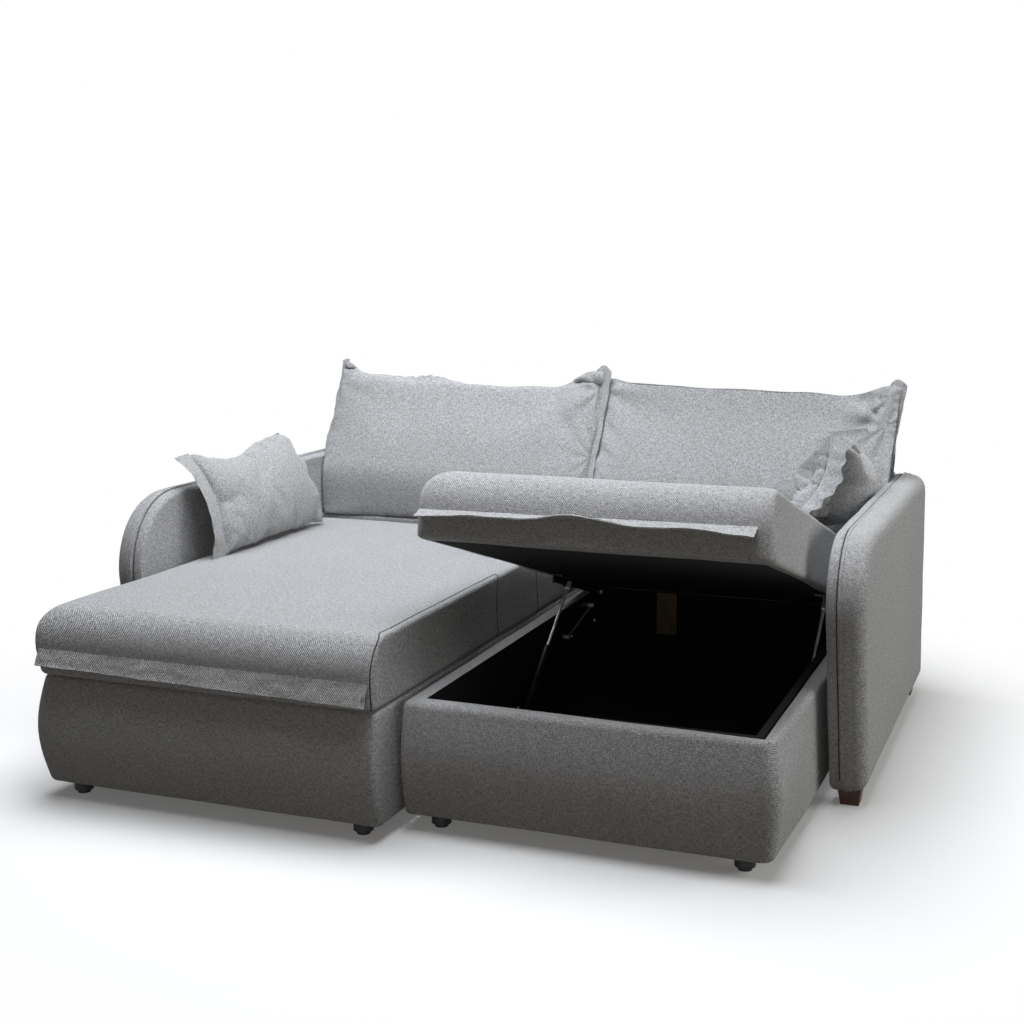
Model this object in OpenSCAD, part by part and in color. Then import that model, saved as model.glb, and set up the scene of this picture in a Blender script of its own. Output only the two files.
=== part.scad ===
// Two-seat storage sofa. Each seat is an upholstered box whose cushioned lid lifts at the front
// on two gas struts. Width runs along X, depth along Y with the front at -Y, height along Z.
// The left seat is modelled closed and the right seat open.

/* [Seats] */
// Width of the left seat
left_seat_w = 850; // [780:5:940]
// Width of the right seat
right_seat_w = 800; // [740:5:900]
// Gap between the two seats
seat_gap = 12; // [9:1:24]
// Depth of the left seat, from its front to the back of its box
seat_d = 1370; // [1300:5:1460]
// How far the right seat's front stands behind the left one's
right_set_back_d = 100; // [0:5:180]
// Height of the boxes above the floor
base_z = 37; // [30:1:60]
// Height of a storage box
box_h = 251; // [236:1:300]
// Thickness of a closed lid at its edge
lid_t = 156; // [136:1:180]
// Rise of the lid's crown over its edge
lid_crown = 16; // [6:1:26]
// Angle to which a lid lifts
lid_open = 16.2; // [8:0.1:18]

/* [Arms] */
// Thickness of an arm
arm_t = 86; // [80:1:120]
// Height of an arm's top above the floor
arm_top_z = 628; // [600:1:680]
// Depth of the right arm at its foot
arm_d = 1044; // [980:2:1120]
// How much deeper the left arm is than the right one
left_arm_more_d = 84; // [0:2:100]
// Gap between the right seat and its arm
right_arm_gap = 32; // [2:1:40]
// How far an arm's front leans forward on its way up
arm_lean = 140; // [60:2:160]
// Radius of the right arm's front top corner
arm_front_r = 148; // [80:2:160]
// Radius of the left arm's front top corner
left_arm_front_r = 182; // [80:2:190]
// Radius of the arm's back top corner
arm_back_r = 60; // [40:2:90]
// Distance from the arm's inner face to its piping
piping_in = 32; // [26:1:36]
// Radius of the piping
piping_r = 4; // [3:0.5:5]

/* [Back] */
// Depth of the deck that the back cushions stand on
deck_d = 178; // [170:1:210]
// Thickness of the upholstered back
back_t = 80; // [64:1:110]
// Height of a back cushion along its face
back_cushion_h = 472; // [420:2:540]
// Thickness of a back cushion at its middle
back_cushion_t = 150; // [110:1:156]
// Depth of a back cushion at its foot
back_cushion_foot_d = 186; // [170:1:190]
// How far a back cushion's face leans back, in degrees
back_lean = 15.5; // [10:0.5:17]

/* [Throw pillows] */
// Length of the left pillow's stuffing
left_pillow_l = 540; // [400:5:580]
// Length of the right pillow's stuffing, pressed into its corner
right_pillow_l = 250; // [200:5:270]
// Height of a pillow along its face
pillow_h = 296; // [260:2:310]
// Thickness of the left pillow
left_pillow_t = 84; // [70:1:100]
// Thickness of the right pillow
right_pillow_t = 118; // [90:1:130]

/* [Boards and pads] */
// Thickness of the box boards
board_t = 15; // [12:0.5:18]
// Thickness of the padding on a box
pad_t = 25; // [20:1:32]
// Thickness of the lid's panel
lid_board_t = 15; // [12:0.5:20]
// How far a box front bulges
front_bulge = 22; // [8:1:24]
// How far the free side of a box bulges in front of its arm
side_bulge = 20; // [4:1:26]
// Height of the pull flange on a lid's front
pull_h = 34; // [30:1:50]
// How far the pull flange stands out from the box front
pull_out = 42; // [34:1:44]

/* [Lift mechanism] */
// Height of the lid's underside above its pivot
pivot_drop = 14; // [12:0.5:18]
// Distance from the pivot to the back of the box
pivot_in = 32; // [31:1:38]
// Distance from the pivot forward to the strut's stud on the lid arm
lug_reach = 326; // [310:1:345]
// Distance from the pivot forward to the strut's lower stud
foot_reach = 670; // [640:1:700]
// Height of the strut's lower stud above the box floor
foot_rise = 42; // [36:1:60]
// Radius of a strut's cylinder
cylinder_r = 9; // [7:0.5:10]
// Length of a strut's cylinder from its lower stud
cylinder_l = 232; // [215:1:250]
// Radius of a strut's rod
rod_r = 4; // [3:0.5:5]
// Thickness of the steel plates and arms
plate_t = 4; // [3:0.5:4]

/* [Feet] */
// Width of a wooden foot at its top
foot_top_w = 52; // [40:1:60]
// Width of a wooden foot at the floor
foot_floor_w = 42; // [30:1:50]
// Radius of a black glide
glide_r = 22; // [18:1:28]

/* [Hidden] */
// Clearances and the overrun of cuts
arm_gap = 2;
lid_rest_gap = 2;
seam_gap = 0.3;
groove_share = sqrt(2);
pin_gap = 0.05;
cut_over = 2;
least_r = 1;

// Padding of the boxes
front_draw = 10;
box_inner_r = 12;
box_outer_r = 30;

// Lid cushions
left_lid_in = 2;
right_lid_in = 10;
lid_overhang = 10;
lid_swell = 8;
lid_back_in = 25;
lid_bevel = 38;
lid_low_r = 10;
lid_round_r = 62;
lid_crisp_r = 14;
lid_corner_r = 22;
lid_rear_r = 12;
lid_board_in = 34;
pull_t = 5;
pull_end_in = 8;
pull_rise = 30;

// Arms
arm_foot_r = 24;
arm_inner_r = 10;
arm_outer_r = 34;
piping_out = 3;
panel_t = 18;
panel_in = 48;

// Back, deck and cushions
deck_pad_t = 24;
deck_edge_r = 8;
deck_board_t = 18;
deck_rib_shares = [0, 0.5, 1];
timber_w = 45;
timber_t = 22;
back_round_r = 22;
cushion_flange_w = 26;
cushion_rim_t = 5;
cushion_edge_t = 14;
cushion_pull = 14;
cushion_corner_r = 46;
cushion_seam = 3;
cushion_split_x = 5;
cushion_rear_lean = 7;
pillow_pull = 9;
pillow_corner_r = 34;
pillow_flange_w = 42;
pillow_clear = 30;
pillow_rest_gap = 0.8;
left_pillow_y = 600;
right_pillow_y = 962;
left_pillow_lean = [-12, 50];
right_pillow_lean = [20, 50];

// Steel parts
pin_r = 5;
stud_r = 4;
eye_r = 9;
eye_w = 14;
head_r = 8;
head_t = 3;
washer_t = 1;
arm_bar_h = 22;
arm_bar_l = 420;
arm_flange_w = 26;
arm_flange_in = 26;
strut_off = 20;
lug_drop = 6;
socket_r = 7;
socket_l = 22;
rod_foot_gap = 12;
hinge_plate_up = 10;
hinge_plate_h = 84;
hinge_plate_l = 118;
hinge_nose_l = 316;
hinge_nose_w = 36;
foot_plate_w = 46;
foot_plate_h = 60;
brace_r = 2.5;
brace_off = 9;
brace_boss_r = 6;
brace_low = [-303, -61];
brace_high = [-96, -18];
batten_w = 58;
batten_h = 118;
batten_t = 20;
batten_x_share = 0.27;

// Feet
foot_in = 48;
glide_in = 64;
glide_lip_t = 8;
glide_lip_r = 15;

// Steps of the curved forms
arc_steps = 4;
arm_arc_steps = 10;
side_steps = 6;
plain_steps = 2;
level_shares = [0, 0.12, 0.3, 0.5, 0.7, 0.88, 1];
crown_shares = [0.86, 0.62, 0.34];
puff_shares = [0.3, 0.56, 0.78, 0.93];
puff_powers = [3, 0.6];
bulge_mid_shares = [0.6, 0.72];
piping_sides = 6;

// Places, worked out from the sizes above
deck_y = seat_d + seam_gap;
back_y = deck_y + deck_d + seam_gap;
rear_y = back_y + back_t;
mid_y = (rear_y + piping_out - pull_out) / 2;
left_half = seat_gap / 2 + left_seat_w + arm_gap;
right_half = seat_gap / 2 + right_seat_w + right_arm_gap;
mid_x = (right_half - left_half) / 2;
left_arm_d = arm_d + left_arm_more_d;
rim_z = base_z + box_h;
lid_z = rim_z + lid_rest_gap;
seat_z = lid_z + lid_t;
floor_z = base_z + board_t;
wall_t = pad_t + board_t;
pivot_y = seat_d - pivot_in;
pivot_z = lid_z - pivot_drop;
lid_back_y = seat_d - lid_back_in;
back_w = left_half + right_half - 2 * seam_gap;

fabric = "#9da1a5";
lining = "#161718";
ply = "#b08a5c";
steel = "#1d1e20";
bright_steel = "#c9ccce";
timber = "#9c7a4d";
foot_wood = "#4a2413";
glide_black = "#121212";

// Outlines and skins

function unit(v) = v / norm(v);
function lifted(loop, z) = [for (p = loop) [p.x, p.y, z]];
function mean(loop) = [for (p = loop) 1] * loop / len(loop);
function box_corners(x0, x1, y0, y1) = [[x0, y0], [x1, y0], [x1, y1], [x0, y1]];

// Centre, radius, start angle and turn of the arc at corner i of an outline that is inset
function corner_arc(pts, radii, inset, i) =
  let (
    n = len(pts),
    a = unit(pts[i] - pts[(i + n - 1) % n]),
    b = unit(pts[(i + 1) % n] - pts[i]),
    n1 = [-a.y, a.x],
    n2 = [-b.y, b.x],
    r = max(radii[i], inset + least_r)
  )
  [pts[i] + (n1 + n2) * r / (1 + n1 * n2), r - inset, atan2(-n1.y, -n1.x), acos(n1 * n2)];

function arc_points(arc, steps) =
  [for (k = [0:steps])
    let (a = arc[2] + arc[3] * k / steps)
    arc[0] + arc[1] * [cos(a), sin(a)]];

// Points between two arcs, drawn in by pull at their middle
function side_points(from, to, steps, pull) =
  let (d = unit(to - from), inward = [-d.y, d.x])
  [for (k = [1:steps - 1]) from + (to - from) * k / steps + inward * pull * sin(180 * k / steps)];

// Anticlockwise outline with rounded corners and a drawn-in amount for each side
function rounded_loop(pts, radii, inset, steps, between, pulls) =
  let (
    n = len(pts),
    arcs = [for (i = [0:n - 1]) arc_points(corner_arc(pts, radii, inset, i), steps)]
  )
  [for (i = [0:n - 1]) each concat(
    arcs[i],
    side_points(arcs[i][steps], arcs[(i + 1) % n][0], between, pulls[i])
  )];

no_pull = [0, 0, 0, 0];

// Closed form through a list of rings, each anticlockwise seen from the last ring's side
module skin(rings, low, high) {
  n = len(rings[0]);
  m = len(rings);
  polyhedron(
    points = concat([for (r = rings) each r], [low, high]),
    faces = concat(
      [for (j = [0:m - 2], i = [0:n - 1]) [j * n + i, (j + 1) * n + i, (j + 1) * n + (i + 1) % n]],
      [for (j = [0:m - 2], i = [0:n - 1]) [j * n + i, (j + 1) * n + (i + 1) % n, j * n + (i + 1) % n]],
      [for (i = [0:n - 1]) [n * m, i, (i + 1) % n]],
      [for (i = [0:n - 1]) [n * m + 1, (m - 1) * n + (i + 1) % n, (m - 1) * n + i]]
    ),
    convexity = 6
  );
}

// Thickness of a stuffed cushion at a share of the way out from its middle
function puff(t, share) =
  cushion_edge_t + (t - cushion_edge_t) * pow(1 - pow(share, puff_powers[0]), puff_powers[1]);

// Rings of a stuffed cushion lying flat, crowned both ways, with a sewn flange at each end
function stuffed_rings(l, h, t, corner_r, pulls, flanges) =
  let (
    radii = [corner_r, corner_r, corner_r, corner_r],
    body = rounded_loop(box_corners(-l / 2, l / 2, -h / 2, h / 2), radii, 0, arc_steps, side_steps, pulls),
    rim = rounded_loop(
      box_corners(-l / 2 - flanges[0], l / 2 + flanges[1], -h / 2, h / 2),
      radii, 0, arc_steps, side_steps, pulls
    ),
    upper = concat(
      [lifted(rim, cushion_rim_t / 2), lifted(body, cushion_edge_t / 2)],
      [for (i = [len(puff_shares) - 1:-1:0]) lifted(body * puff_shares[i], puff(t, puff_shares[i]) / 2)]
    )
  )
  concat([for (i = [len(upper) - 1:-1:0]) [for (p = upper[i]) [p.x, p.y, -p.z]]], upper);

// Exact rounded bar profile
module rounded_rect(w, h, r) {
  translate([r, 0]) square([w - 2 * r, h]);
  translate([0, r]) square([w, h - 2 * r]);
  for (x = [r, w - r], y = [r, h - r])
    translate([x, y]) circle(r, $fn = 48);
}

// Rod along Z
module rod(r, l) {
  cylinder(r = r, h = l, $fn = 48);
}

// Placing

// Moves from the left seat's front to the middle of the floor
module placed() {
  translate([0, -mid_y, 0]) children();
}

// The same for what is placed across the width from between the seats
module seat_placed() {
  translate([-mid_x, 0, 0]) placed() children();
}

// Seat frame: X from the seat's inner edge outwards, on either side of the sofa
module on_side(side) {
  seat_placed() mirror([side < 0 ? 1 : 0, 0, 0]) translate([seat_gap / 2, 0, 0]) children();
}

// Arm frame: X from the arm's inner face outwards
module on_arm(side) {
  seat_placed()
    mirror([side < 0 ? 1 : 0, 0, 0]) translate([side < 0 ? left_half : right_half, 0, 0]) children();
}

// Turns what rides on a lid about its pivot
module lid_turned(angle) {
  translate([0, pivot_y, pivot_z]) rotate([-angle, 0, 0]) translate([0, -pivot_y, -pivot_z]) children();
}

// Profiles drawn in depth and height, run along the width
module along_width() {
  rotate([90, 0, 90]) children();
}

// Both walls of a box: children see X from the wall's inner face into the box
module at_walls(w) {
  translate([wall_t, 0, 0]) children();
  translate([w - wall_t, 0, 0]) mirror([1, 0, 0]) children();
}

// Arms

function arm_corners(d) = [
  [rear_y - d, base_z], [rear_y, base_z],
  [rear_y, arm_top_z], [rear_y - d - arm_lean, arm_top_z]
];
function free_y(d) = rear_y - d - arm_lean - arm_gap;
function arm_radii(front_r) = [arm_foot_r, arm_foot_r, arm_back_r, front_r];
piping_sunk = piping_r - piping_out;
groove = piping_sunk + (piping_r + seam_gap) * groove_share;

function arm_loop(d, front_r, inset) =
  rounded_loop(arm_corners(d), arm_radii(front_r), inset, arm_arc_steps, plain_steps, no_pull);

// Place across the arm and inset of the outline there
arm_section = concat(
  [for (a = [0:45:90]) [arm_inner_r * (1 - cos(a)), arm_inner_r * (1 - sin(a))]],
  [[piping_in - groove, 0], [piping_in, groove], [piping_in + groove, 0]],
  [for (a = [0:22.5:90]) [arm_t - arm_outer_r * (1 - sin(a)), arm_outer_r * (1 - cos(a))]]
);

module arm_core(d, front_r, grow) {
  along_width()
    translate([0, 0, (arm_t + piping_in - panel_t) / 2 - grow])
      linear_extrude(panel_t + 2 * grow)
        polygon(rounded_loop(
          arm_corners(d), arm_radii(front_r), panel_in - grow, arc_steps, plain_steps, no_pull
        ));
}

module arm_upholstery(d, front_r) {
  centre = mean(arm_loop(d, front_r, 0));
  difference() {
    along_width()
      skin(
        [for (s = arm_section) lifted(arm_loop(d, front_r, s[1]), s[0])],
        [centre.x, centre.y, 0],
        [centre.x, centre.y, arm_t]
      );
    arm_core(d, front_r, seam_gap);
  }
}

// The piping runs up the front, over the top and down the back, seated in the arm's groove
module arm_piping(d, front_r) {
  loop = arm_loop(d, front_r, piping_sunk);
  n = len(loop);
  m = n - 2 * arm_arc_steps - 1;
  path = [for (i = [0:m - 1]) loop[(n - i) % n]];
  function heading(i) = unit(path[min(i + 1, m - 1)] - path[max(i - 1, 0)]);
  rings = [
    for (i = [0:m - 1])
      let (h = heading(i), out = [-h.y, h.x])
      [for (k = [0:piping_sides - 1])
        let (a = 360 * k / piping_sides)
        [path[i].x + out.x * piping_r * cos(a), path[i].y + out.y * piping_r * cos(a),
         piping_in + piping_r * sin(a)]]
  ];
  along_width() skin(rings, mean(rings[0]), mean(rings[m - 1]));
}

// Square wooden foot that tapers to the floor
module arm_foot() {
  low = foot_floor_w / 2;
  high = foot_top_w / 2;
  skin(
    [lifted(box_corners(-low, low, -low, low), 0), lifted(box_corners(-high, high, -high, high), base_z)],
    [0, 0, 0],
    [0, 0, base_z]
  );
}

module arm_feet(d) {
  for (y = [rear_y - d + foot_in, rear_y - foot_in])
    translate([arm_t / 2, y, 0]) arm_foot();
}

// Back and rear deck

module back_timber(grow) {
  y = back_y + (back_t - timber_t) / 2 - grow;
  left = -back_w / 2 + timber_t;
  low = base_z + timber_t;
  high = arm_top_z - timber_t - timber_w;
  for (z = [low, high])
    translate([left - grow, y, z - grow])
      cube([back_w - 2 * timber_t + 2 * grow, timber_t + 2 * grow, timber_w + 2 * grow]);
  for (x = [left, -timber_w / 2, -left - timber_w])
    translate([x - grow, y, low - grow])
      cube([timber_w + 2 * grow, timber_t + 2 * grow, high - low + 2 * grow]);
}

module padded_back() {
  difference() {
    translate([-back_w / 2, back_y, base_z])
      along_width()
        linear_extrude(back_w) rounded_rect(back_t, arm_top_z - base_z, back_round_r);
    back_timber(seam_gap);
  }
}

module deck_boards() {
  top = seat_z - deck_pad_t - deck_board_t;
  for (y = [deck_y, deck_y + deck_d - deck_board_t])
    translate([-back_w / 2, y, base_z]) cube([back_w, deck_board_t, top - base_z]);
  for (s = deck_rib_shares)
    translate([-back_w / 2 + (back_w - deck_board_t) * s, deck_y, base_z])
      cube([deck_board_t, deck_d, top - base_z]);
  translate([-back_w / 2, deck_y, top]) cube([back_w, deck_d, deck_board_t]);
}

module deck_pad() {
  corners = box_corners(-back_w / 2, back_w / 2, deck_y, deck_y + deck_d);
  radii = [least_r, least_r, least_r, least_r];
  function edge(inset) = rounded_loop(corners, radii, inset, arc_steps, plain_steps, no_pull);
  middle = deck_y + deck_d / 2;
  skin(
    [
      lifted(edge(0), seat_z - deck_pad_t),
      lifted(edge(0), seat_z - deck_edge_r),
      lifted(edge(deck_edge_r * (1 - cos(45))), seat_z - deck_edge_r * (1 - sin(45))),
      lifted(edge(deck_edge_r), seat_z)
    ],
    [0, middle, seat_z - deck_pad_t],
    [0, middle, seat_z]
  );
}

module glide() {
  rod(glide_lip_r, glide_lip_t);
  translate([0, 0, glide_lip_t]) rod(glide_r, base_z - glide_lip_t);
}

// Depths of a back cushion's face and rear at a height up it: its rear stands against the back
// and leans over its top
function cushion_face(v) = back_y - seam_gap - back_cushion_foot_d + v * tan(back_lean);
function cushion_rear(v) =
  back_y - seam_gap + max(0, v - arm_top_z + seat_z + back_round_r) * tan(cushion_rear_lean);

// A back cushion between two places across the width, wedge-shaped on the deck
module back_cushion(x0, x1) {
  rings = stuffed_rings(
    x1 - x0 - 2 * cushion_flange_w, back_cushion_h, back_cushion_t, cushion_corner_r,
    [0, cushion_pull, cushion_pull, cushion_pull], [cushion_flange_w, cushion_flange_w]
  );
  function set_up(p) =
    let (
      v = p.y + back_cushion_h / 2,
      face = cushion_face(v),
      rear = cushion_rear(v)
    )
    [(x0 + x1) / 2 + p.x, (face + rear) / 2 - p.z / back_cushion_t * (rear - face), seat_z + seam_gap + v];
  skin(
    [for (r = rings) [for (p = r) set_up(p)]],
    set_up([0, 0, -back_cushion_t / 2]),
    set_up([0, 0, back_cushion_t / 2])
  );
}

// Bends a flat pillow's point up an arc: X outwards to the arm, Y along it, Z up
function bent(p, lean) =
  let (
    turn = lean[1] - lean[0],
    bend_r = pillow_h / (turn * PI / 180),
    a = lean[0] + turn * (p.y / pillow_h + 1 / 2)
  )
  [bend_r * (cos(lean[0]) - cos(a)) - p.z * cos(a), p.x, bend_r * (sin(a) - sin(lean[0])) + p.z * sin(a)];

// Height of a lid's crown at a distance in from its outer edge
function crown_at(w, lid_in, outer_r, inner_r, x) =
  let (half = (w - 2 * lid_in - outer_r - inner_r) / 2, share = abs(x - lid_in - outer_r - half) / half)
  lid_crown * max(0, 1 - share * share);

// A pillow on edge along its arm, leaning over it, with its flange at the front end
module throw_pillow(l, t, front_y, lean, seat_x, crown_of) {
  rings = stuffed_rings(
    l, pillow_h, t, pillow_corner_r, [0, pillow_pull, pillow_pull, pillow_pull], [pillow_flange_w, 0]
  );
  bent_rings = [for (r = rings) [for (p = r) bent(p, lean)]];
  below = arm_top_z - seat_z + pillow_clear;
  reach = max([for (r = bent_rings, p = r) if (p.z < below) p.x]) + seam_gap;
  foot = min([for (r = bent_rings, p = r) p.z]);
  rest_z = seat_z + crown_of(reach - seat_x) + pillow_rest_gap - foot;
  translate([-reach, front_y + pillow_flange_w + l / 2, rest_z])
    skin(bent_rings, bent([0, 0, -t / 2], lean), bent([0, 0, t / 2], lean));
}

// Storage box of a seat: w is its width and front the place of its front

module box_floor(w, front) {
  translate([wall_t, front + wall_t, base_z])
    cube([w - 2 * wall_t, seat_d - front - wall_t - board_t, board_t]);
}

module box_front_board(w, front) {
  translate([pad_t, front + pad_t, base_z]) cube([w - 2 * pad_t, board_t, box_h]);
}

module box_rear_board(w) {
  translate([pad_t, seat_d - board_t, base_z]) cube([w - 2 * pad_t, board_t, box_h]);
}

module box_side_boards(w, front) {
  for (x = [pad_t, w - wall_t])
    translate([x, front + wall_t, base_z])
      cube([board_t, seat_d - front - wall_t - board_t, box_h]);
}

// Padded front, bulging at half height and drawn in at the bottom
module box_front_pad(w, front) {
  rings = [
    for (s = level_shares)
      let (
        y0 = front - front_bulge * sin(180 * s) + front_draw * (1 - s),
        y1 = front + pad_t - seam_gap,
        room = y1 - y0 - 2 * least_r
      )
      lifted(
        rounded_loop(
          box_corners(0, w + side_bulge * sin(180 * s), y0, y1),
          [min(box_inner_r, room), min(box_outer_r, room), least_r, least_r],
          0, arc_steps, plain_steps, no_pull
        ),
        base_z + box_h * s
      )
  ];
  skin(rings, mean(rings[0]), mean(rings[len(rings) - 1]));
}

// Padded side behind the front pad: it bulges in front of the arm and is flat beside it
module side_pad(front, bulge, free) {
  y0 = front + pad_t;
  back = pad_t - seam_gap;
  rings = [
    for (s = level_shares)
      let (b = bulge * sin(180 * s))
      lifted(
        [
          [back, y0], [back, free], [back, seat_d], [0, seat_d], [0, free],
          [-b * bulge_mid_shares[1], y0 + (free - y0) * bulge_mid_shares[0]], [-b, y0]
        ],
        base_z + box_h * s
      )
  ];
  skin(rings, mean(rings[0]), mean(rings[len(rings) - 1]));
}

module box_outer_pad(w, front, free) {
  translate([w, 0, 0]) mirror([1, 0, 0]) side_pad(front, side_bulge, free);
}

module box_glides(w, front) {
  for (x = [glide_in, w - glide_in], y = [front + glide_in, seat_d - glide_in])
    translate([x, y, 0]) glide();
}

// Upright batten inside the rear board
module rear_batten(w) {
  translate([w * batten_x_share, seat_d - board_t - batten_t, rim_z - batten_h])
    cube([batten_w, batten_t, batten_h]);
}

// Lift mechanism. Points are depth and height from the pivot, with the lid shut

lug_at = [-lug_reach, -lug_drop];
foot_at = [-foot_reach, floor_z + foot_rise - pivot_z];

function turned(p, angle) = [p.x * cos(angle) + p.y * sin(angle), p.y * cos(angle) - p.x * sin(angle)];
function strut_angle(angle) = let (d = turned(lug_at, angle) - foot_at) atan2(d.y, d.x);
function strut_length(angle) = norm(turned(lug_at, angle) - foot_at);

// Steel plate on a side wall, with the pivot's bore at its back and a nose for the tie rod
module hinge_plate() {
  back = pivot_in - board_t - washer_t;
  translate([0, pivot_y, pivot_z]) difference() {
    along_width() linear_extrude(plate_t) polygon([
      [back, hinge_plate_up],
      [-hinge_plate_l, hinge_plate_up],
      [-hinge_nose_l, brace_low.y + hinge_nose_w / 2],
      [-hinge_nose_l, brace_low.y - hinge_nose_w / 2],
      [-hinge_plate_l, -hinge_plate_h],
      [back, -hinge_plate_h]
    ]);
    translate([-cut_over, 0, 0]) rotate([0, 90, 0]) rod(pin_r + pin_gap, plate_t + 2 * cut_over);
  }
}

// Pin through the plate and the lid arm, with a head on the arm's side
module hinge_pin() {
  shank = 2 * plate_t + 2 * washer_t;
  translate([0, pivot_y, pivot_z]) rotate([0, 90, 0]) {
    rod(pin_r, shank);
    translate([0, 0, shank]) rod(head_r, head_t);
  }
}

// Thin tie rod beside the hinge plate, on a boss at each end
module brace_rod() {
  d = brace_high - brace_low;
  translate([plate_t, pivot_y, pivot_z]) {
    for (p = [brace_low, brace_high])
      translate([0, p.x, p.y]) rotate([0, 90, 0]) rod(brace_boss_r, brace_off + 2 * brace_r);
    translate([brace_off, brace_low.x, brace_low.y])
      rotate([atan2(d.y, d.x) - 90, 0, 0]) rod(brace_r, norm(d));
  }
}

// Plate and stud that carry a strut's lower eye
module strut_foot() {
  translate([0, pivot_y + foot_at.x, pivot_z + foot_at.y]) {
    translate([0, -foot_plate_w / 2, -foot_plate_h / 2]) cube([plate_t, foot_plate_w, foot_plate_h]);
    translate([plate_t, 0, 0]) rotate([0, 90, 0]) rod(stud_r, strut_off + eye_w / 2 - plate_t);
  }
}

// Bored cylinder with an eye at its lower end
module strut_cylinder() {
  difference() {
    union() {
      translate([-eye_w / 2, 0, 0]) rotate([0, 90, 0]) rod(eye_r, eye_w);
      rod(cylinder_r, cylinder_l);
    }
    translate([-eye_r - cut_over, 0, 0])
      rotate([0, 90, 0]) rod(stud_r + pin_gap, 2 * (eye_r + cut_over));
    translate([0, 0, eye_r + stud_r]) rod(rod_r + pin_gap, cylinder_l);
  }
}

// Polished rod with a socket at its upper end, for a strut of a given length
module strut_rod(l) {
  start = eye_r + stud_r + rod_foot_gap + l - strut_length(0);
  translate([0, 0, start]) rod(rod_r, l - start);
  translate([0, 0, l - socket_l + socket_r]) rod(socket_r, socket_l);
}

module strut_placed(w, angle) {
  at_walls(w)
    translate([strut_off, pivot_y + foot_at.x, pivot_z + foot_at.y])
      rotate([strut_angle(angle) - 90, 0, 0]) children();
}

// Angle iron under the lid's side, with the pivot's bore at its back and the strut's stud
module lid_arm() {
  x = plate_t + washer_t;
  translate([0, pivot_y, pivot_z]) {
    difference() {
      union() {
        translate([x, -arm_bar_l, pivot_drop - arm_bar_h]) cube([plate_t, arm_bar_l, arm_bar_h]);
        translate([x, 0, 0]) rotate([0, 90, 0]) rod(pivot_drop - seam_gap, plate_t);
        translate([x, -arm_bar_l, pivot_drop - plate_t])
          cube([arm_flange_w, arm_bar_l - arm_flange_in, plate_t]);
      }
      translate([x - cut_over, 0, 0]) rotate([0, 90, 0]) rod(pin_r + pin_gap, plate_t + 2 * cut_over);
    }
    translate([x, lug_at.x, lug_at.y]) rotate([0, 90, 0]) rod(stud_r, strut_off - socket_r - seam_gap - x);
  }
}

// Lid: panel, cushion and pull flange

module lid_panel(w, front, grow) {
  translate([lid_board_in - grow, front + lid_board_in - grow, lid_z - grow])
    cube([
      w - 2 * lid_board_in + 2 * grow,
      lid_back_y - front - 2 * lid_board_in + 2 * grow,
      lid_board_t + 2 * grow
    ]);
}

// Outline of a lid at a height, taken in by low_in all round and by a share of the top roundings
function lid_ring(w, front, lid_in, round_in, z, low_in, share) =
  lifted(
    rounded_loop(
      box_corners(
        lid_in + low_in + round_in[0] * share,
        w - lid_in - low_in - round_in[1] * share,
        front - lid_overhang - lid_swell * sin(180 * z / lid_t) + low_in + lid_round_r * share,
        lid_back_y - lid_bevel * z / lid_t - low_in - lid_crisp_r * share
      ),
      [lid_corner_r, lid_corner_r, lid_rear_r, lid_rear_r], 0, arc_steps, side_steps, no_pull
    ),
    lid_z + z
  );

// Lid cushion, crowned, with a full rounding at the front and on one side and a crisp seam opposite.
// round_in holds the rounding at the inner side and at the outer side
module lid_cushion(w, front, lid_in, round_in) {
  rings = concat(
    [for (a = [0:45:90])
      lid_ring(w, front, lid_in, round_in, lid_low_r * (1 - cos(a)), lid_low_r * (1 - sin(a)), 0)],
    [for (z = [pull_rise, pull_rise + pull_h]) lid_ring(w, front, lid_in, round_in, z, 0, 0)],
    [for (a = [0:22.5:90])
      lid_ring(w, front, lid_in, round_in, lid_t - lid_round_r * (1 - sin(a)), 0, 1 - cos(a))]
  );
  top = rings[len(rings) - 1];
  mid = mean(top);
  crown = [
    for (s = crown_shares)
      [for (p = top) [mid.x + (p.x - mid.x) * s, mid.y + (p.y - mid.y) * s, p.z + lid_crown * (1 - s * s)]]
  ];
  difference() {
    skin(concat(rings, crown), mean(rings[0]), [mid.x, mid.y, mid.z + lid_crown]);
    hull() {
      lid_panel(w, front, seam_gap);
      translate([0, 0, -cut_over]) lid_panel(w, front, seam_gap);
    }
  }
}

// Fabric strip sewn along the lid's front, hanging out over the joint
module pull_flange(w, front, lid_in) {
  root = pull_rise + pull_h;
  root_y = front - lid_overhang - lid_swell * sin(180 * root / lid_t) - seam_gap;
  tip_y = front - pull_out;
  translate([lid_in + pull_end_in, 0, lid_z])
    along_width()
      linear_extrude(w - 2 * (lid_in + pull_end_in))
        polygon([[root_y, root], [root_y - pull_t, root], [tip_y, pull_rise], [tip_y + pull_t, pull_rise]]);
}

left_round = [lid_crisp_r, lid_round_r];
right_round = [lid_round_r, lid_crisp_r];

// Sub-parts

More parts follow.
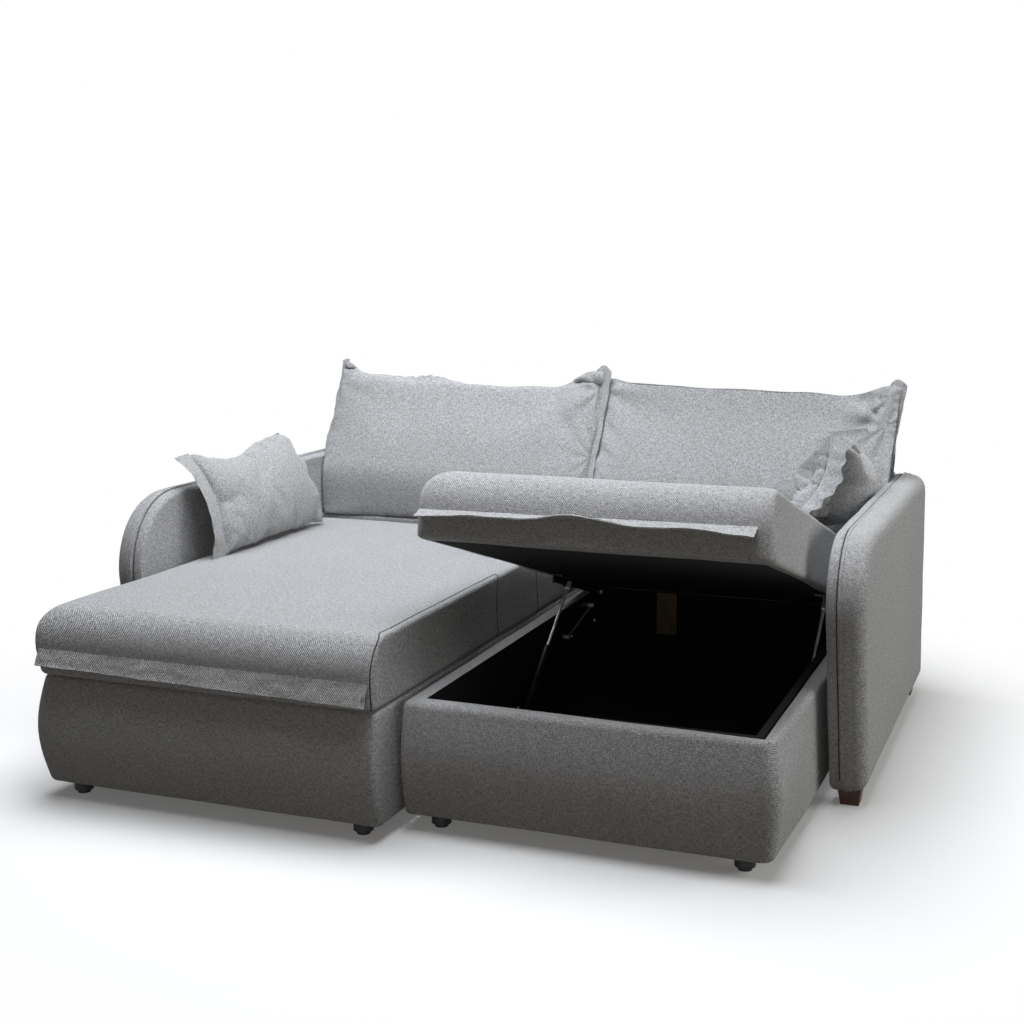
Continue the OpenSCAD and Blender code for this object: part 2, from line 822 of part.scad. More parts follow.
module left_arm_panel() {
  color(ply) on_arm(-1) arm_core(left_arm_d, left_arm_front_r, 0);
}
module right_arm_panel() {
  color(ply) on_arm(1) arm_core(arm_d, arm_front_r, 0);
}
module left_arm_upholstery() {
  color(fabric) on_arm(-1) arm_upholstery(left_arm_d, left_arm_front_r);
}
module right_arm_upholstery() {
  color(fabric) on_arm(1) arm_upholstery(arm_d, arm_front_r);
}
module left_arm_piping() {
  color(fabric) on_arm(-1) arm_piping(left_arm_d, left_arm_front_r);
}
module right_arm_piping() {
  color(fabric) on_arm(1) arm_piping(arm_d, arm_front_r);
}
module left_arm_feet() {
  color(foot_wood) on_arm(-1) arm_feet(left_arm_d);
}
module right_arm_feet() {
  color(foot_wood) on_arm(1) arm_feet(arm_d);
}
module back_frame() {
  color(timber) placed() back_timber(0);
}
module back_upholstery() {
  color(fabric) placed() padded_back();
}
module rear_deck_frame() {
  color(timber) placed() deck_boards();
}
module rear_deck_pad() {
  color(fabric) placed() deck_pad();
}
module rear_glides() {
  color(glide_black) placed()
    for (x = [glide_in - back_w / 2, 0, back_w / 2 - glide_in])
      translate([x, deck_y + deck_d - deck_board_t / 2, 0]) glide();
}
module left_back_cushion() {
  color(fabric) seat_placed() back_cushion(cushion_seam - left_half, cushion_split_x - cushion_seam / 2);
}
module right_back_cushion() {
  color(fabric) seat_placed() back_cushion(cushion_split_x + cushion_seam / 2, right_half - cushion_seam);
}
module left_throw_pillow() {
  color(fabric) on_arm(-1)
    throw_pillow(
      left_pillow_l, left_pillow_t, left_pillow_y, left_pillow_lean, arm_gap,
      function (x) crown_at(left_seat_w, left_lid_in, left_round[1], left_round[0], x)
    );
}
module right_throw_pillow() {
  color(fabric) on_arm(1) lid_turned(lid_open)
    throw_pillow(
      right_pillow_l, right_pillow_t, right_pillow_y, right_pillow_lean, right_arm_gap,
      function (x) crown_at(right_seat_w, right_lid_in, right_round[1], right_round[0], x)
    );
}

module left_box_floor() {
  color(lining) on_side(-1) box_floor(left_seat_w, 0);
}
module left_box_front_board() {
  color(lining) on_side(-1) box_front_board(left_seat_w, 0);
}
module left_box_rear_board() {
  color(lining) on_side(-1) box_rear_board(left_seat_w);
}
module left_box_side_boards() {
  color(lining) on_side(-1) box_side_boards(left_seat_w, 0);
}
module left_box_front_pad() {
  color(fabric) on_side(-1) box_front_pad(left_seat_w, 0);
}
module left_box_inner_pad() {
  color(fabric) on_side(-1) side_pad(0, 0, free_y(left_arm_d));
}
module left_box_outer_pad() {
  color(fabric) on_side(-1) box_outer_pad(left_seat_w, 0, free_y(left_arm_d));
}
module left_box_glides() {
  color(glide_black) on_side(-1) box_glides(left_seat_w, 0);
}
module left_rear_batten() {
  color(timber) on_side(-1) rear_batten(left_seat_w);
}
module left_hinge_plates() {
  color(steel) on_side(-1) at_walls(left_seat_w) hinge_plate();
}
module left_hinge_pins() {
  color(bright_steel) on_side(-1) at_walls(left_seat_w) hinge_pin();
}
module left_strut_feet() {
  color(steel) on_side(-1) at_walls(left_seat_w) strut_foot();
}
module left_strut_cylinders() {
  color(steel) on_side(-1) strut_placed(left_seat_w, 0) strut_cylinder();
}
module left_strut_rods() {
  color(bright_steel) on_side(-1) strut_placed(left_seat_w, 0) strut_rod(strut_length(0));
}
module left_brace_rods() {
  color(bright_steel) on_side(-1) at_walls(left_seat_w) brace_rod();
}
module left_lid_arms() {
  color(steel) on_side(-1) at_walls(left_seat_w) lid_arm();
}
module left_lid_board() {
  color(lining) on_side(-1) lid_panel(left_seat_w, 0, 0);
}
module left_lid_cushion() {
  color(fabric) on_side(-1) lid_cushion(left_seat_w, 0, left_lid_in, left_round);
}
module left_pull_flange() {
  color(fabric) on_side(-1) pull_flange(left_seat_w, 0, left_lid_in);
}

module right_box_floor() {
  color(lining) on_side(1) box_floor(right_seat_w, right_set_back_d);
}
module right_box_front_board() {
  color(lining) on_side(1) box_front_board(right_seat_w, right_set_back_d);
}
module right_box_rear_board() {
  color(lining) on_side(1) box_rear_board(right_seat_w);
}
module right_box_side_boards() {
  color(lining) on_side(1) box_side_boards(right_seat_w, right_set_back_d);
}
module right_box_front_pad() {
  color(fabric) on_side(1) box_front_pad(right_seat_w, right_set_back_d);
}
module right_box_inner_pad() {
  color(fabric) on_side(1) side_pad(right_set_back_d, 0, free_y(arm_d));
}
module right_box_outer_pad() {
  color(fabric) on_side(1) box_outer_pad(right_seat_w, right_set_back_d, free_y(arm_d));
}
module right_box_glides() {
  color(glide_black) on_side(1) box_glides(right_seat_w, right_set_back_d);
}
module right_rear_batten() {
  color(timber) on_side(1) rear_batten(right_seat_w);
}
module right_hinge_plates() {
  color(steel) on_side(1) at_walls(right_seat_w) hinge_plate();
}
module right_hinge_pins() {
  color(bright_steel) on_side(1) at_walls(right_seat_w) hinge_pin();
}
module right_strut_feet() {
  color(steel) on_side(1) at_walls(right_seat_w) strut_foot();
}
module right_strut_cylinders() {
  color(steel) on_side(1) strut_placed(right_seat_w, lid_open) strut_cylinder();
}
module right_strut_rods() {
  color(bright_steel) on_side(1) strut_placed(right_seat_w, lid_open) strut_rod(strut_length(lid_open));
}
module right_brace_rods() {
  color(bright_steel) on_side(1) at_walls(right_seat_w) brace_rod();
}
module right_lid_arms() {
  color(steel) on_side(1) lid_turned(lid_open) at_walls(right_seat_w) lid_arm();
}
module right_lid_board() {
  color(lining) on_side(1) lid_turned(lid_open) lid_panel(right_seat_w, right_set_back_d, 0);
}
module right_lid_cushion() {
  color(fabric) on_side(1) lid_turned(lid_open)
    lid_cushion(right_seat_w, right_set_back_d, right_lid_in, right_round);
}
module right_pull_flange() {
  color(fabric) on_side(1) lid_turned(lid_open)
    pull_flange(right_seat_w, right_set_back_d, right_lid_in);
}

left_arm_panel();
right_arm_panel();
left_arm_upholstery();
right_arm_upholstery();
left_arm_piping();
right_arm_piping();
left_arm_feet();
right_arm_feet();
back_frame();
back_upholstery();
rear_deck_frame();
rear_deck_pad();
rear_glides();
left_back_cushion();
right_back_cushion();
left_throw_pillow();
right_throw_pillow();
left_box_floor();
left_box_front_board();
left_box_rear_board();
left_box_side_boards();
left_box_front_pad();
left_box_inner_pad();
left_box_outer_pad();
left_box_glides();
left_rear_batten();
left_hinge_plates();
left_hinge_pins();
left_strut_feet();
left_strut_cylinders();
left_strut_rods();
left_brace_rods();
left_lid_arms();
left_lid_board();
left_lid_cushion();
left_pull_flange();
right_box_floor();
right_box_front_board();
right_box_rear_board();
right_box_side_boards();
right_box_front_pad();
right_box_inner_pad();
right_box_outer_pad();
right_box_glides();
right_rear_batten();
right_hinge_plates();
right_hinge_pins();
right_strut_feet();
right_strut_cylinders();
right_strut_rods();
right_brace_rods();
right_lid_arms();
right_lid_board();
right_lid_cushion();
right_pull_flange();
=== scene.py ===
# Dresses the two-seat storage sofa: padded covers, loose cushions, pull flanges, lift fittings
# and the studio that shows it. The left seat is closed and the right seat is open.
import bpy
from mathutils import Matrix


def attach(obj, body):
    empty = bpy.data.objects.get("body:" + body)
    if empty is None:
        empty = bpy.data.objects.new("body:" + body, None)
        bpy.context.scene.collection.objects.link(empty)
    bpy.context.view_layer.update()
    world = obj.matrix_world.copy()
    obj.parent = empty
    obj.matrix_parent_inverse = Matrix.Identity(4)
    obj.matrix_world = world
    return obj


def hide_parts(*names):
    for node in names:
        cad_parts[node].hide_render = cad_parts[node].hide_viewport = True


bl_info = {
    "name": "Storage Sofa",
    "version": (1, 0, 0),
    "blender": (4, 5, 0),
    "location": "View3D > Sidebar > Storage Sofa",
    "description": "Dresses the storage sofa's frame with covers, cushions and fittings",
    "category": "Add Mesh",
}

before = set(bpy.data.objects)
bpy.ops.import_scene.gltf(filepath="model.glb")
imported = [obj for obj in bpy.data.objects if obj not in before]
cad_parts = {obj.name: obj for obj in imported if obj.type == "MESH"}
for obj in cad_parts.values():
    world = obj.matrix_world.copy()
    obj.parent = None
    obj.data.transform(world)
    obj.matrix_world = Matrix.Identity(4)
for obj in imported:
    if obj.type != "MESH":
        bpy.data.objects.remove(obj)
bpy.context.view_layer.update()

import math

import bpy
import numpy as np
from bpy.props import FloatProperty, FloatVectorProperty, IntProperty, PointerProperty
from mathutils import Matrix, Vector, noise

# Places shared with the solids, in metres. Depths run back from the left seat's front and widths from
# between the seats. MID is where the frame's origin, the middle of the footprint, lies in them.
MID = (-0.010, 0.7948)
SEAT_GAP = 0.012
SEAT_W = {"left": 0.850, "right": 0.800}
SEAT_FRONT = {"left": 0.0, "right": 0.100}
SEAT_D = 1.370
BASE_Z = 0.037
RIM_Z = 0.288
LID_Z = 0.290
LID_T = 0.156
SEAT_Z = 0.446
LID_CROWN = 0.016
LID_BACK_Y = 1.345
PIVOT = (1.338, 0.276)
LID_OPEN = {"left": 0.0, "right": math.radians(16.2)}
ARM_T = 0.086
ARM_TOP_Z = 0.628
ARM_D = {"left": 1.128, "right": 1.044}
ARM_LEAN = 0.140
ARM_FRONT_R = {"left": 0.182, "right": 0.148}
HALF = {"left": 0.858, "right": 0.838}
REAR_Y = 1.6286
DECK_Y = 1.3703
BACK_Y = 1.5486
FREE_Y = {side: REAR_Y - ARM_D[side] - ARM_LEAN - 0.002 for side in ARM_D}
SIGN = {"left": -1, "right": 1}
SIDES = ("left", "right")
SEAM_GAP = 0.0006


def linear(code):
    """Turns an sRGB hex value into a linear colour."""
    channels = [int(code[i:i + 2], 16) / 255 for i in (1, 3, 5)]
    return tuple(c / 12.92 if c <= 0.04045 else ((c + 0.055) / 1.055) ** 2.4 for c in channels)


# Sizes and colours a user would change

def length(name, text, default, low, high):
    return FloatProperty(
        name=name, description=text, default=default, min=low, max=high, subtype="DISTANCE", unit="LENGTH")


def tint(name, text, code):
    return FloatVectorProperty(
        name=name, description=text, default=linear(code), size=3, min=0, max=1, subtype="COLOR")


class SofaSizes(bpy.types.PropertyGroup):
    welt_r: length("Welt radius", "Radius of the piping sewn into the arms", 0.0042, 0.002, 0.006)
    seam_r: length("Seam radius", "Radius of a plain seam's ridge", 0.0015, 0.0008, 0.003)
    flange_t: length("Flange thickness", "Thickness of a doubled fabric flange", 0.0032, 0.0015, 0.005)
    flange_wave: length("Flange wave", "How far a flange waves in and out", 0.006, 0.0, 0.012)
    cushion_cell: length("Cushion mesh cell", "Cell of the cushion panels that the cloth runs on", 0.010, 0.006, 0.02)
    soft_dent: length("Soft dents", "Depth of the slow dents in the padding", 0.0018, 0.0, 0.004)
    cloth_frames: IntProperty(
        name="Cloth frames", description="Frames for which the cushions fill", default=24, min=5, max=60)
    cloth_growth: FloatProperty(
        name="Cloth fullness", description="Share by which a cushion's cloth is larger than its outline",
        default=0.06, min=0, max=0.2)


class SofaColours(bpy.types.PropertyGroup):
    fabric_light: tint("Light yarn", "Light yarn of the upholstery", "#c0c1c2")
    fabric_dark: tint("Dark yarn", "Dark yarn of the upholstery", "#8b8b8c")
    lining: tint("Lining", "Black non-woven lining", "#161617")
    wood: tint("Foot wood", "Stained beech of the feet", "#4a2413")
    steel: tint("Powder coat", "Black coat on the steel fittings", "#17181a")
    chrome: tint("Chrome", "Polished rods and pins", "#f0f1f2")
    floor: tint("Floor", "Studio floor near the sofa", "#ededed")


# Materials

def add(tree, kind, inputs=None, **settings):
    """Adds a node with its settings, values and links. A node given as a value stands for its first output."""
    made = tree.nodes.new(kind)
    for key, value in settings.items():
        setattr(made, key, value)
    for key, value in (inputs or {}).items():
        if isinstance(value, bpy.types.Node):
            value = next(socket for socket in value.outputs if socket.enabled)
        if isinstance(value, bpy.types.NodeSocket):
            tree.links.new(value, made.inputs[key])
        else:
            made.inputs[key].default_value = value
    return made


def built(name, surface):
    """The material of a name, built on the first call: surface adds its nodes and returns the last one."""
    made = bpy.data.materials.get(name)
    if made is None:
        made = bpy.data.materials.new(name)
        made.use_nodes = True
        made.node_tree.nodes.clear()
        add(made.node_tree, "ShaderNodeOutputMaterial", {"Surface": surface(made.node_tree)})
    return made


def rgba(colour, share=1.0):
    return (colour[0] * share, colour[1] * share, colour[2] * share, 1.0)


# Threads are 1 mm apart in the real cloth. They are drawn twice as wide, so that they show.
THREAD = 0.0021
SLUB = 0.008
# Thick places in the weft, which still show where a face is seen along its length
STREAK = (0.022, 0.0034)
TWILL = 0.0036
# Factor on the weave's map along the depth of side faces. Below 1 it draws the weave longer there,
# because the main view only grazes them and the real size is too fine to show.
SIDE_DRAWN = 0.55


def melange_fabric():
    """Two-tone twill of uneven yarn: matt heather grey, with a soft sheen at grazing angles."""
    def surface(tree):
        colours = bpy.context.scene.sofa_colours
        place = add(tree, "ShaderNodeTexCoord").outputs
        yarns = []
        for stretch in ((1 / SLUB, 1 / THREAD, 1), (1 / THREAD, 1 / SLUB, 1), (1 / STREAK[0], 1 / STREAK[1], 1)):
            drawn = add(tree, "ShaderNodeMapping", {"Vector": place["UV"], "Scale": stretch})
            yarns.append(add(tree, "ShaderNodeTexNoise", {
                "Vector": drawn, "Scale": 1.0, "Detail": 1.0}, noise_dimensions="2D"))
        weft, warp, streak = yarns
        # Across its bands a diagonal wave of scale s repeats every 0.444 / s
        rib = add(tree, "ShaderNodeTexWave", {
            "Vector": place["UV"], "Scale": 0.444 / TWILL, "Distortion": 1.6, "Detail": 1.0, "Detail Scale": 2.0},
            bands_direction="DIAGONAL").outputs["Fac"]
        thin = add(tree, "ShaderNodeMix", {"Factor": rib, "A": weft, "B": warp})
        yarn = add(tree, "ShaderNodeMix", {"Factor": 0.15, "A": thin, "B": streak})
        tone = add(tree, "ShaderNodeMapRange", {"Value": yarn, "From Min": 0.36, "From Max": 0.64})
        mixed = add(tree, "ShaderNodeMix", {
            "Factor": tone, "A": rgba(colours.fabric_dark), "B": rgba(colours.fabric_light)}, data_type="RGBA")
        # Tone that changes slowly over 0.1 m, and clumps of fibre 12 mm wide
        slow = add(tree, "ShaderNodeTexNoise", {"Vector": place["Object"], "Scale": 9.0, "Detail": 2.0})
        heather = add(tree, "ShaderNodeTexNoise", {"Vector": place["Object"], "Scale": 85.0, "Detail": 1.0})
        patch = add(tree, "ShaderNodeMapRange", {"Value": slow, "To Min": 0.95, "To Max": 1.05})
        speck = add(tree, "ShaderNodeMapRange", {
            "Value": heather, "From Min": 0.32, "From Max": 0.68, "To Min": 0.94, "To Max": 1.06})
        shade = add(tree, "ShaderNodeMath", {0: patch, 1: speck}, operation="MULTIPLY")
        worn = add(tree, "ShaderNodeMix", {
            "Factor": 1.0, "A": mixed, "B": shade}, data_type="RGBA", blend_type="MULTIPLY")
        ridge = add(tree, "ShaderNodeMath", {0: yarn, 1: rib}, operation="ADD")
        bump = add(tree, "ShaderNodeBump", {"Strength": 0.75, "Distance": 0.0014, "Height": ridge})
        return add(tree, "ShaderNodeBsdfPrincipled", {
            "Base Color": worn, "Roughness": 0.92, "Specular IOR Level": 0.2, "Sheen Weight": 0.25,
            "Sheen Roughness": 0.5, "Normal": bump})
    return built("melange_upholstery_twill", surface)


def grained(name, colour, grain, uniform, tone=None, rough=None, bump=None, stretch=None):
    """A material with one grain, which can set its tone, roughness and relief. A grain of scale s is 1 / s
    metres wide."""
    def surface(tree):
        place = add(tree, "ShaderNodeTexCoord").outputs["Object"]
        if stretch:
            place = add(tree, "ShaderNodeMapping", {"Vector": place, "Scale": stretch})
        found = add(tree, "ShaderNodeTexNoise", {"Vector": place, **grain})
        inputs = {"Base Color": colour, **uniform}
        if tone:
            share = add(tree, "ShaderNodeMapRange", {"Value": found, **tone})
            inputs["Base Color"] = add(tree, "ShaderNodeMix", {
                "Factor": 1.0, "A": colour, "B": share}, data_type="RGBA", blend_type="MULTIPLY")
        if rough:
            inputs["Roughness"] = add(tree, "ShaderNodeMapRange", {"Value": found, **rough})
        if bump:
            inputs["Normal"] = add(tree, "ShaderNodeBump", {"Height": found, **bump})
        return add(tree, "ShaderNodeBsdfPrincipled", inputs)
    return built(name, surface)


def seam_with_painted_shade():
    """Grey thread of a seam, darkened as painted shade of the seam's recess: a thin line whose stitches change tone
    every 4 mm.
    """
    # The dark yarn at 0.22 of its colour is painted shade: it stands in for the shadow in the seam's recess.
    return grained(
        "grey_thread_with_painted_seam_shade", rgba(bpy.context.scene.sofa_colours.fabric_dark, 0.22),
        {"Scale": 260.0, "Detail": 1.0}, {"Roughness": 0.95, "Specular IOR Level": 0.15},
        tone={"To Min": 0.7, "To Max": 1.5})


def lining_cloth():
    """Black non-woven cloth on boards: matt, with a felted grain of 2.4 mm."""
    return grained(
        "black_nonwoven_lining", rgba(bpy.context.scene.sofa_colours.lining),
        {"Scale": 420.0, "Detail": 3.0}, {"Roughness": 0.95, "Specular IOR Level": 0.15},
        tone={"To Min": 0.6, "To Max": 1.5}, bump={"Strength": 0.3, "Distance": 0.0004})


def stained_wood(name, colour, stretch):
    """Stained and lacquered wood: long grain lines with a soft shine; stretch is their number per metre."""
    return grained(
        name, rgba(colour), {"Scale": 1.0, "Detail": 5.0, "Distortion": 0.6}, {},
        tone={"From Min": 0.3, "From Max": 0.7, "To Min": 0.55, "To Max": 1.25},
        rough={"To Min": 0.32, "To Max": 0.5}, bump={"Strength": 0.2, "Distance": 0.0003}, stretch=stretch)


def powder_coat():
    """Black powder-coated steel: an orange-peel grain of 1.1 mm under a satin shine."""
    return grained(
        "black_powder_coated_steel", rgba(bpy.context.scene.sofa_colours.steel),
        {"Scale": 900.0, "Detail": 1.0}, {},
        rough={"To Min": 0.38, "To Max": 0.52}, bump={"Strength": 0.25, "Distance": 0.0002})


def bright_plate():
    """Chromed or zinc-plated steel: bright metal, its shine uneven every 1.4 mm."""
    return grained(
        "bright_plated_steel", rgba(bpy.context.scene.sofa_colours.chrome),
        {"Scale": 700.0, "Detail": 2.0}, {"Metallic": 0.45}, rough={"To Min": 0.22, "To Max": 0.36})


def moulded_plastic():
    """Black moulded polyamide: spark-eroded grain, drawn 0.7 mm wide so that it shows, and a low shine."""
    return grained(
        "black_moulded_polyamide", rgba(linear("#121212")), {"Scale": 1400.0, "Detail": 2.0}, {},
        rough={"To Min": 0.42, "To Max": 0.6}, bump={"Strength": 0.2, "Distance": 0.0002})


# Modelling

def only(*objects):
    """Leaves just these objects selected, the first one active."""
    bpy.ops.object.select_all(action="DESELECT")
    for o in objects:
        o.select_set(True)
    bpy.context.view_layer.objects.active = objects[0]


def attribute(items, key, wide=1, kind=float):
    """One attribute of a mesh's vertices, corners or faces as an array."""
    flat = np.empty(len(items) * wide, kind)
    items.foreach_get(key, flat)
    return flat if wide == 1 else flat.reshape(-1, wide)


def places(obj):
    return attribute(obj.data.vertices, "co", 3)


def move_to(obj, points):
    obj.data.vertices.foreach_set("co", np.ascontiguousarray(points, dtype=np.float32).ravel())
    obj.data.update()


def modified(obj, kind, **settings):
    """Adds a modifier with its settings and applies it."""
    only(obj)
    bpy.ops.object.modifier_add(type=kind)
    for key, value in settings.items():
        setattr(obj.modifiers[-1], key, value)
    bpy.ops.object.modifier_apply(modifier=obj.modifiers[-1].name)


def joined(first, *others):
    """Joins pieces under the first one's name."""
    only(first, *others)
    bpy.ops.object.join()
    return bpy.context.object


def grid(across, up):
    """A flat grid primitive from -1 to 1."""
    bpy.ops.object.select_all(action="DESELECT")
    bpy.ops.mesh.primitive_grid_add(x_subdivisions=across, y_subdivisions=up, size=2)
    return bpy.context.object


def wrapped(name, rows, closed=True):
    """Lays a grid primitive over rows of points and merges its edges where they meet."""
    rows = np.asarray(rows, float)
    if closed:
        rows = np.concatenate([rows, rows[:, :1]], axis=1)
    m, n = rows.shape[:2]
    obj = grid(n - 1, m - 1)
    obj.name = obj.data.name = name
    i, j = (np.rint((c + 1) / 2 * (count - 1)).astype(int) for c, count in zip(places(obj).T, (n, m)))
    move_to(obj, rows[j, i])
    tidy_mesh(obj)
    return obj


def capped(rows):
    """Rows with one more at each end, drawn together to its middle."""
    rows = np.asarray(rows, float)
    ends = [np.broadcast_to(row.mean(0), row.shape) for row in (rows[0], rows[-1])]
    return [ends[0], *rows, ends[1]]


def tidy_mesh(obj, threshold=1e-6):
    """Merges doubles and turns every face outwards."""
    only(obj)
    bpy.ops.object.mode_set(mode="EDIT")
    bpy.ops.mesh.select_all(action="SELECT")
    bpy.ops.mesh.remove_doubles(threshold=threshold)
    bpy.ops.mesh.normals_make_consistent(inside=False)
    bpy.ops.object.mode_set(mode="OBJECT")


def set_weave(mesh, corners):
    """Sets the map that the weave is drawn in, in metres, for each corner of each face."""
    layer = mesh.uv_layers.active or mesh.uv_layers.new(name="weave")
    layer.data.foreach_set("uv", corners.astype(np.float32).ravel())


def lay_weave(obj, drawn=1.0):
    """Maps the weave as seen along each face's main direction; drawn scales it on side faces."""
    mesh = obj.data
    normals = attribute(mesh.polygons, "normal", 3)
    main = np.repeat(np.abs(normals).argmax(1), attribute(mesh.polygons, "loop_total", kind=int))
    axes = np.array([[1, 2], [0, 2], [0, 1]])[main]
    loops = attribute(mesh.loops, "vertex_index", kind=int)
    uv = np.take_along_axis(places(obj)[loops], axes, 1)
    uv[main == 0, 0] *= drawn
    set_weave(mesh, uv)


def dress(obj, material, body, angle=60.0):
    """Gives a finished piece its material, smooth shading and body."""
    obj.data.materials.clear()
    obj.data.materials.append(material)
    only(obj)
    bpy.ops.object.shade_smooth_by_angle(angle=math.radians(angle))
    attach(obj, body)


def paint(node, material):
    """Puts a material on a solid that stays."""
    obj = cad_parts[node]
    obj.data.materials.clear()
    obj.data.materials.append(material)


def corner_arc(corners, radii, inset, i):
    """Centre, radius, start and turn of the arc at a corner of an anticlockwise outline."""
    before, here, after = corners[i - 1], corners[i], corners[(i + 1) % len(corners)]
    a = (here - before) / np.linalg.norm(here - before)
    b = (after - here) / np.linalg.norm(after - here)
    n1, n2 = np.array([-a[1], a[0]]), np.array([-b[1], b[0]])
    r = max(radii[i], inset + 0.0005)
    centre = here + (n1 + n2) * r / (1 + n1 @ n2)
    return centre, r - inset, math.atan2(-n1[1], -n1[0]), math.acos(min(1.0, n1 @ n2))


def outline(corners, radii, inset=0.0, arc=6, sides=(10, 10, 10, 10)):
    """Anticlockwise outline with rounded corners, with a set number of points for each arc and side."""
    corners = [np.array(c, float) for c in corners]
    arcs = []
    for i in range(len(corners)):
        centre, r, start, turn = corner_arc(corners, radii, inset, i)
        angles = [start + turn * k / arc for k in range(arc + 1)]
        arcs.append([centre + r * np.array([math.cos(a), math.sin(a)]) for a in angles])
    points = []
    for i, found in enumerate(arcs):
        points += found
        to = arcs[(i + 1) % len(arcs)][0]
        points += [found[-1] + (to - found[-1]) * k / sides[i] for k in range(1, sides[i])]
    return np.array(points)


def smoothstep(t):
    t = np.clip(t, 0, 1)
    return t * t * (3 - 2 * t)


def quarter(n, start=0.0):
    """One less the cosine and one less the sine, over a quarter turn."""
    return [(1 - math.cos(a), 1 - math.sin(a)) for a in np.linspace(start, math.pi / 2, n)]


def noisy(x, y, z):
    """Smooth noise from about -1 to 1."""
    return noise.noise(Vector((x, y, z)))


def ripples(run, scale, seed, layer):
    """Smooth noise along a run of places."""
    return np.array([noisy(a * scale, seed, layer) for a in run])


def soften(obj, depth, scale, seed):
    """Moves a padded piece's points along their normals by slow noise, as foam dents under cloth."""
    points, shift = places(obj), Vector((seed, seed * 2.0, 0))
    for p, n in zip(points, attribute(obj.data.vertices, "normal", 3)):
        p += n * depth * noise.noise(Vector(p * scale) + shift)
    move_to(obj, points)


def tube(name, path, radius, sides=8):
    """A round welt or rod along a path, closed at both ends."""
    path = np.asarray(path, float)
    headings = np.gradient(path, axis=0)
    headings /= np.linalg.norm(headings, axis=1)[:, None]
    side = np.cross(headings[0], [0.3, 0.5, 0.8])
    rows = [np.repeat(path[:1], sides, 0)]
    for p, d in zip(path, headings):
        side = side - d * (side @ d)
        side /= np.linalg.norm(side)
        up = np.cross(d, side)
        angles = np.arange(sides) * 2 * math.pi / sides
        rows.append(p + radius * (np.cos(angles)[:, None] * side + np.sin(angles)[:, None] * up))
    rows.append(np.repeat(path[-1:], sides, 0))
    return wrapped(name, rows)


def outwards(side, start, points):
    """From a frame of a side, with X outwards from start, to the frame."""
    points = np.array(points, float)
    points[..., 0] = SIGN[side] * (start + points[..., 0]) - MID[0]
    points[..., 1] -= MID[1]
    return points


def seat_place(side, points):
    """From a seat's own frame (X outwards from its inner edge) to the frame."""
    return outwards(side, SEAT_GAP / 2, points)


def arm_place(side, points):
    """From an arm's own frame (X outwards from its inner face) to the frame."""
    return outwards(side, HALF[side], points)


def turn_of(angle):
    """Turn of a lid about its pins."""
    centre = Vector((0, PIVOT[0] - MID[1], PIVOT[1]))
    return Matrix.Translation(centre) @ Matrix.Rotation(angle, 4, "X") @ Matrix.Translation(-centre)


def lift(obj, side):
    """Turns a piece made with the lid shut to where the lid stands."""
    if LID_OPEN[side]:
        obj.data.transform(turn_of(-LID_OPEN[side]))


def shut_foot(node, side):
    """Height of the lowest point of a solid on a lid, with the lid shut."""
    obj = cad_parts[node]
    back = turn_of(LID_OPEN[side]) @ obj.matrix_world
    return min((back @ v.co).z for v in obj.data.vertices)


# Places beside a seam at which its groove is drawn
SEAM_STATIONS = (-0.009, -0.006, -0.0036, -0.0016, 0, 0.0016, 0.0036, 0.006, 0.009)


def stations(low, high, step, seams=()):
    """Places from low to high, a step apart and closer together at the seams."""
    even = np.linspace(low, high, max(2, round((high - low) / step) + 1))
    near = [s + d for s in seams for d in SEAM_STATIONS]
    clear = [e for e in even if e in (low, high) or all(abs(e - n) > 0.0015 for n in near)]
    return np.array(sorted(clear + near))


def groove(distance, depth=0.0028, width=0.0034):
    return depth * np.exp(-(distance / width) ** 2)


def eased(path, times=2):
    """Rounds a path's turns."""
    path = np.asarray(path, float).copy()
    for _ in range(times):
        path[1:-1] = (path[:-2] + 2 * path[1:-1] + path[2:]) / 4
    return path


def on_surface(obj, path, off=0.0):
    """Brings a path onto a piece's surface."""
    found = []
    for p in path:
        _, place, normal, _ = obj.closest_point_on_mesh(Vector(p))
        found.append(place + normal * off)
    return np.array(found)


# Section of a doubled strip: places across it, from the sewn edge round the free edge and back, as
# shares of its width, and the side it lies on there
STRIP_ACROSS = (-0.5, 0.0, 0.2, 0.4, 0.6, 0.8, 0.93, 1.0, 0.93, 0.8, 0.6, 0.4, 0.2, 0.0, -0.5)
STRIP_FACE = (1, 1, 1, 1, 1, 1, 0.8, 0, -0.8, -1, -1, -1, -1, -1, -1)
STRIP_SEWN_IN = 0.012


def flange(path, out, width, wave):
    """A doubled strip of cloth sewn on along a path, closed round its free edge and ends."""
    across = np.array(STRIP_ACROSS)
    half = bpy.context.scene.sofa_sizes.flange_t / 2 * np.array(STRIP_FACE)
    rows = []
    for p, o, w, z in zip(path, out, width, wave):
        run = np.where(across < 0, across * STRIP_SEWN_IN, across * w)
        lift_up = z * np.clip(across, 0, 1) ** 1.5
        rows.append(np.stack([p[0] + o[0] * run, p[1] + o[1] * run, half + lift_up], 1))
    strip = wrapped("strip", capped(rows))
    lay_weave(strip)
    return strip


# Arms

PIPING_IN = 0.032
ARM_INNER_R = 0.012
ARM_OUTER_R = 0.036
ARM_ARC = 16
ARM_STEPS = (64, 32, 72, 36)


def arm_loop(side, inset):
    front = REAR_Y - ARM_D[side]
    corners = [(front, BASE_Z), (REAR_Y, BASE_Z), (REAR_Y, ARM_TOP_Z), (front - ARM_LEAN, ARM_TOP_Z)]
    return outline(corners, [0.024, 0.024, 0.060, ARM_FRONT_R[side]], inset, ARM_ARC, ARM_STEPS)


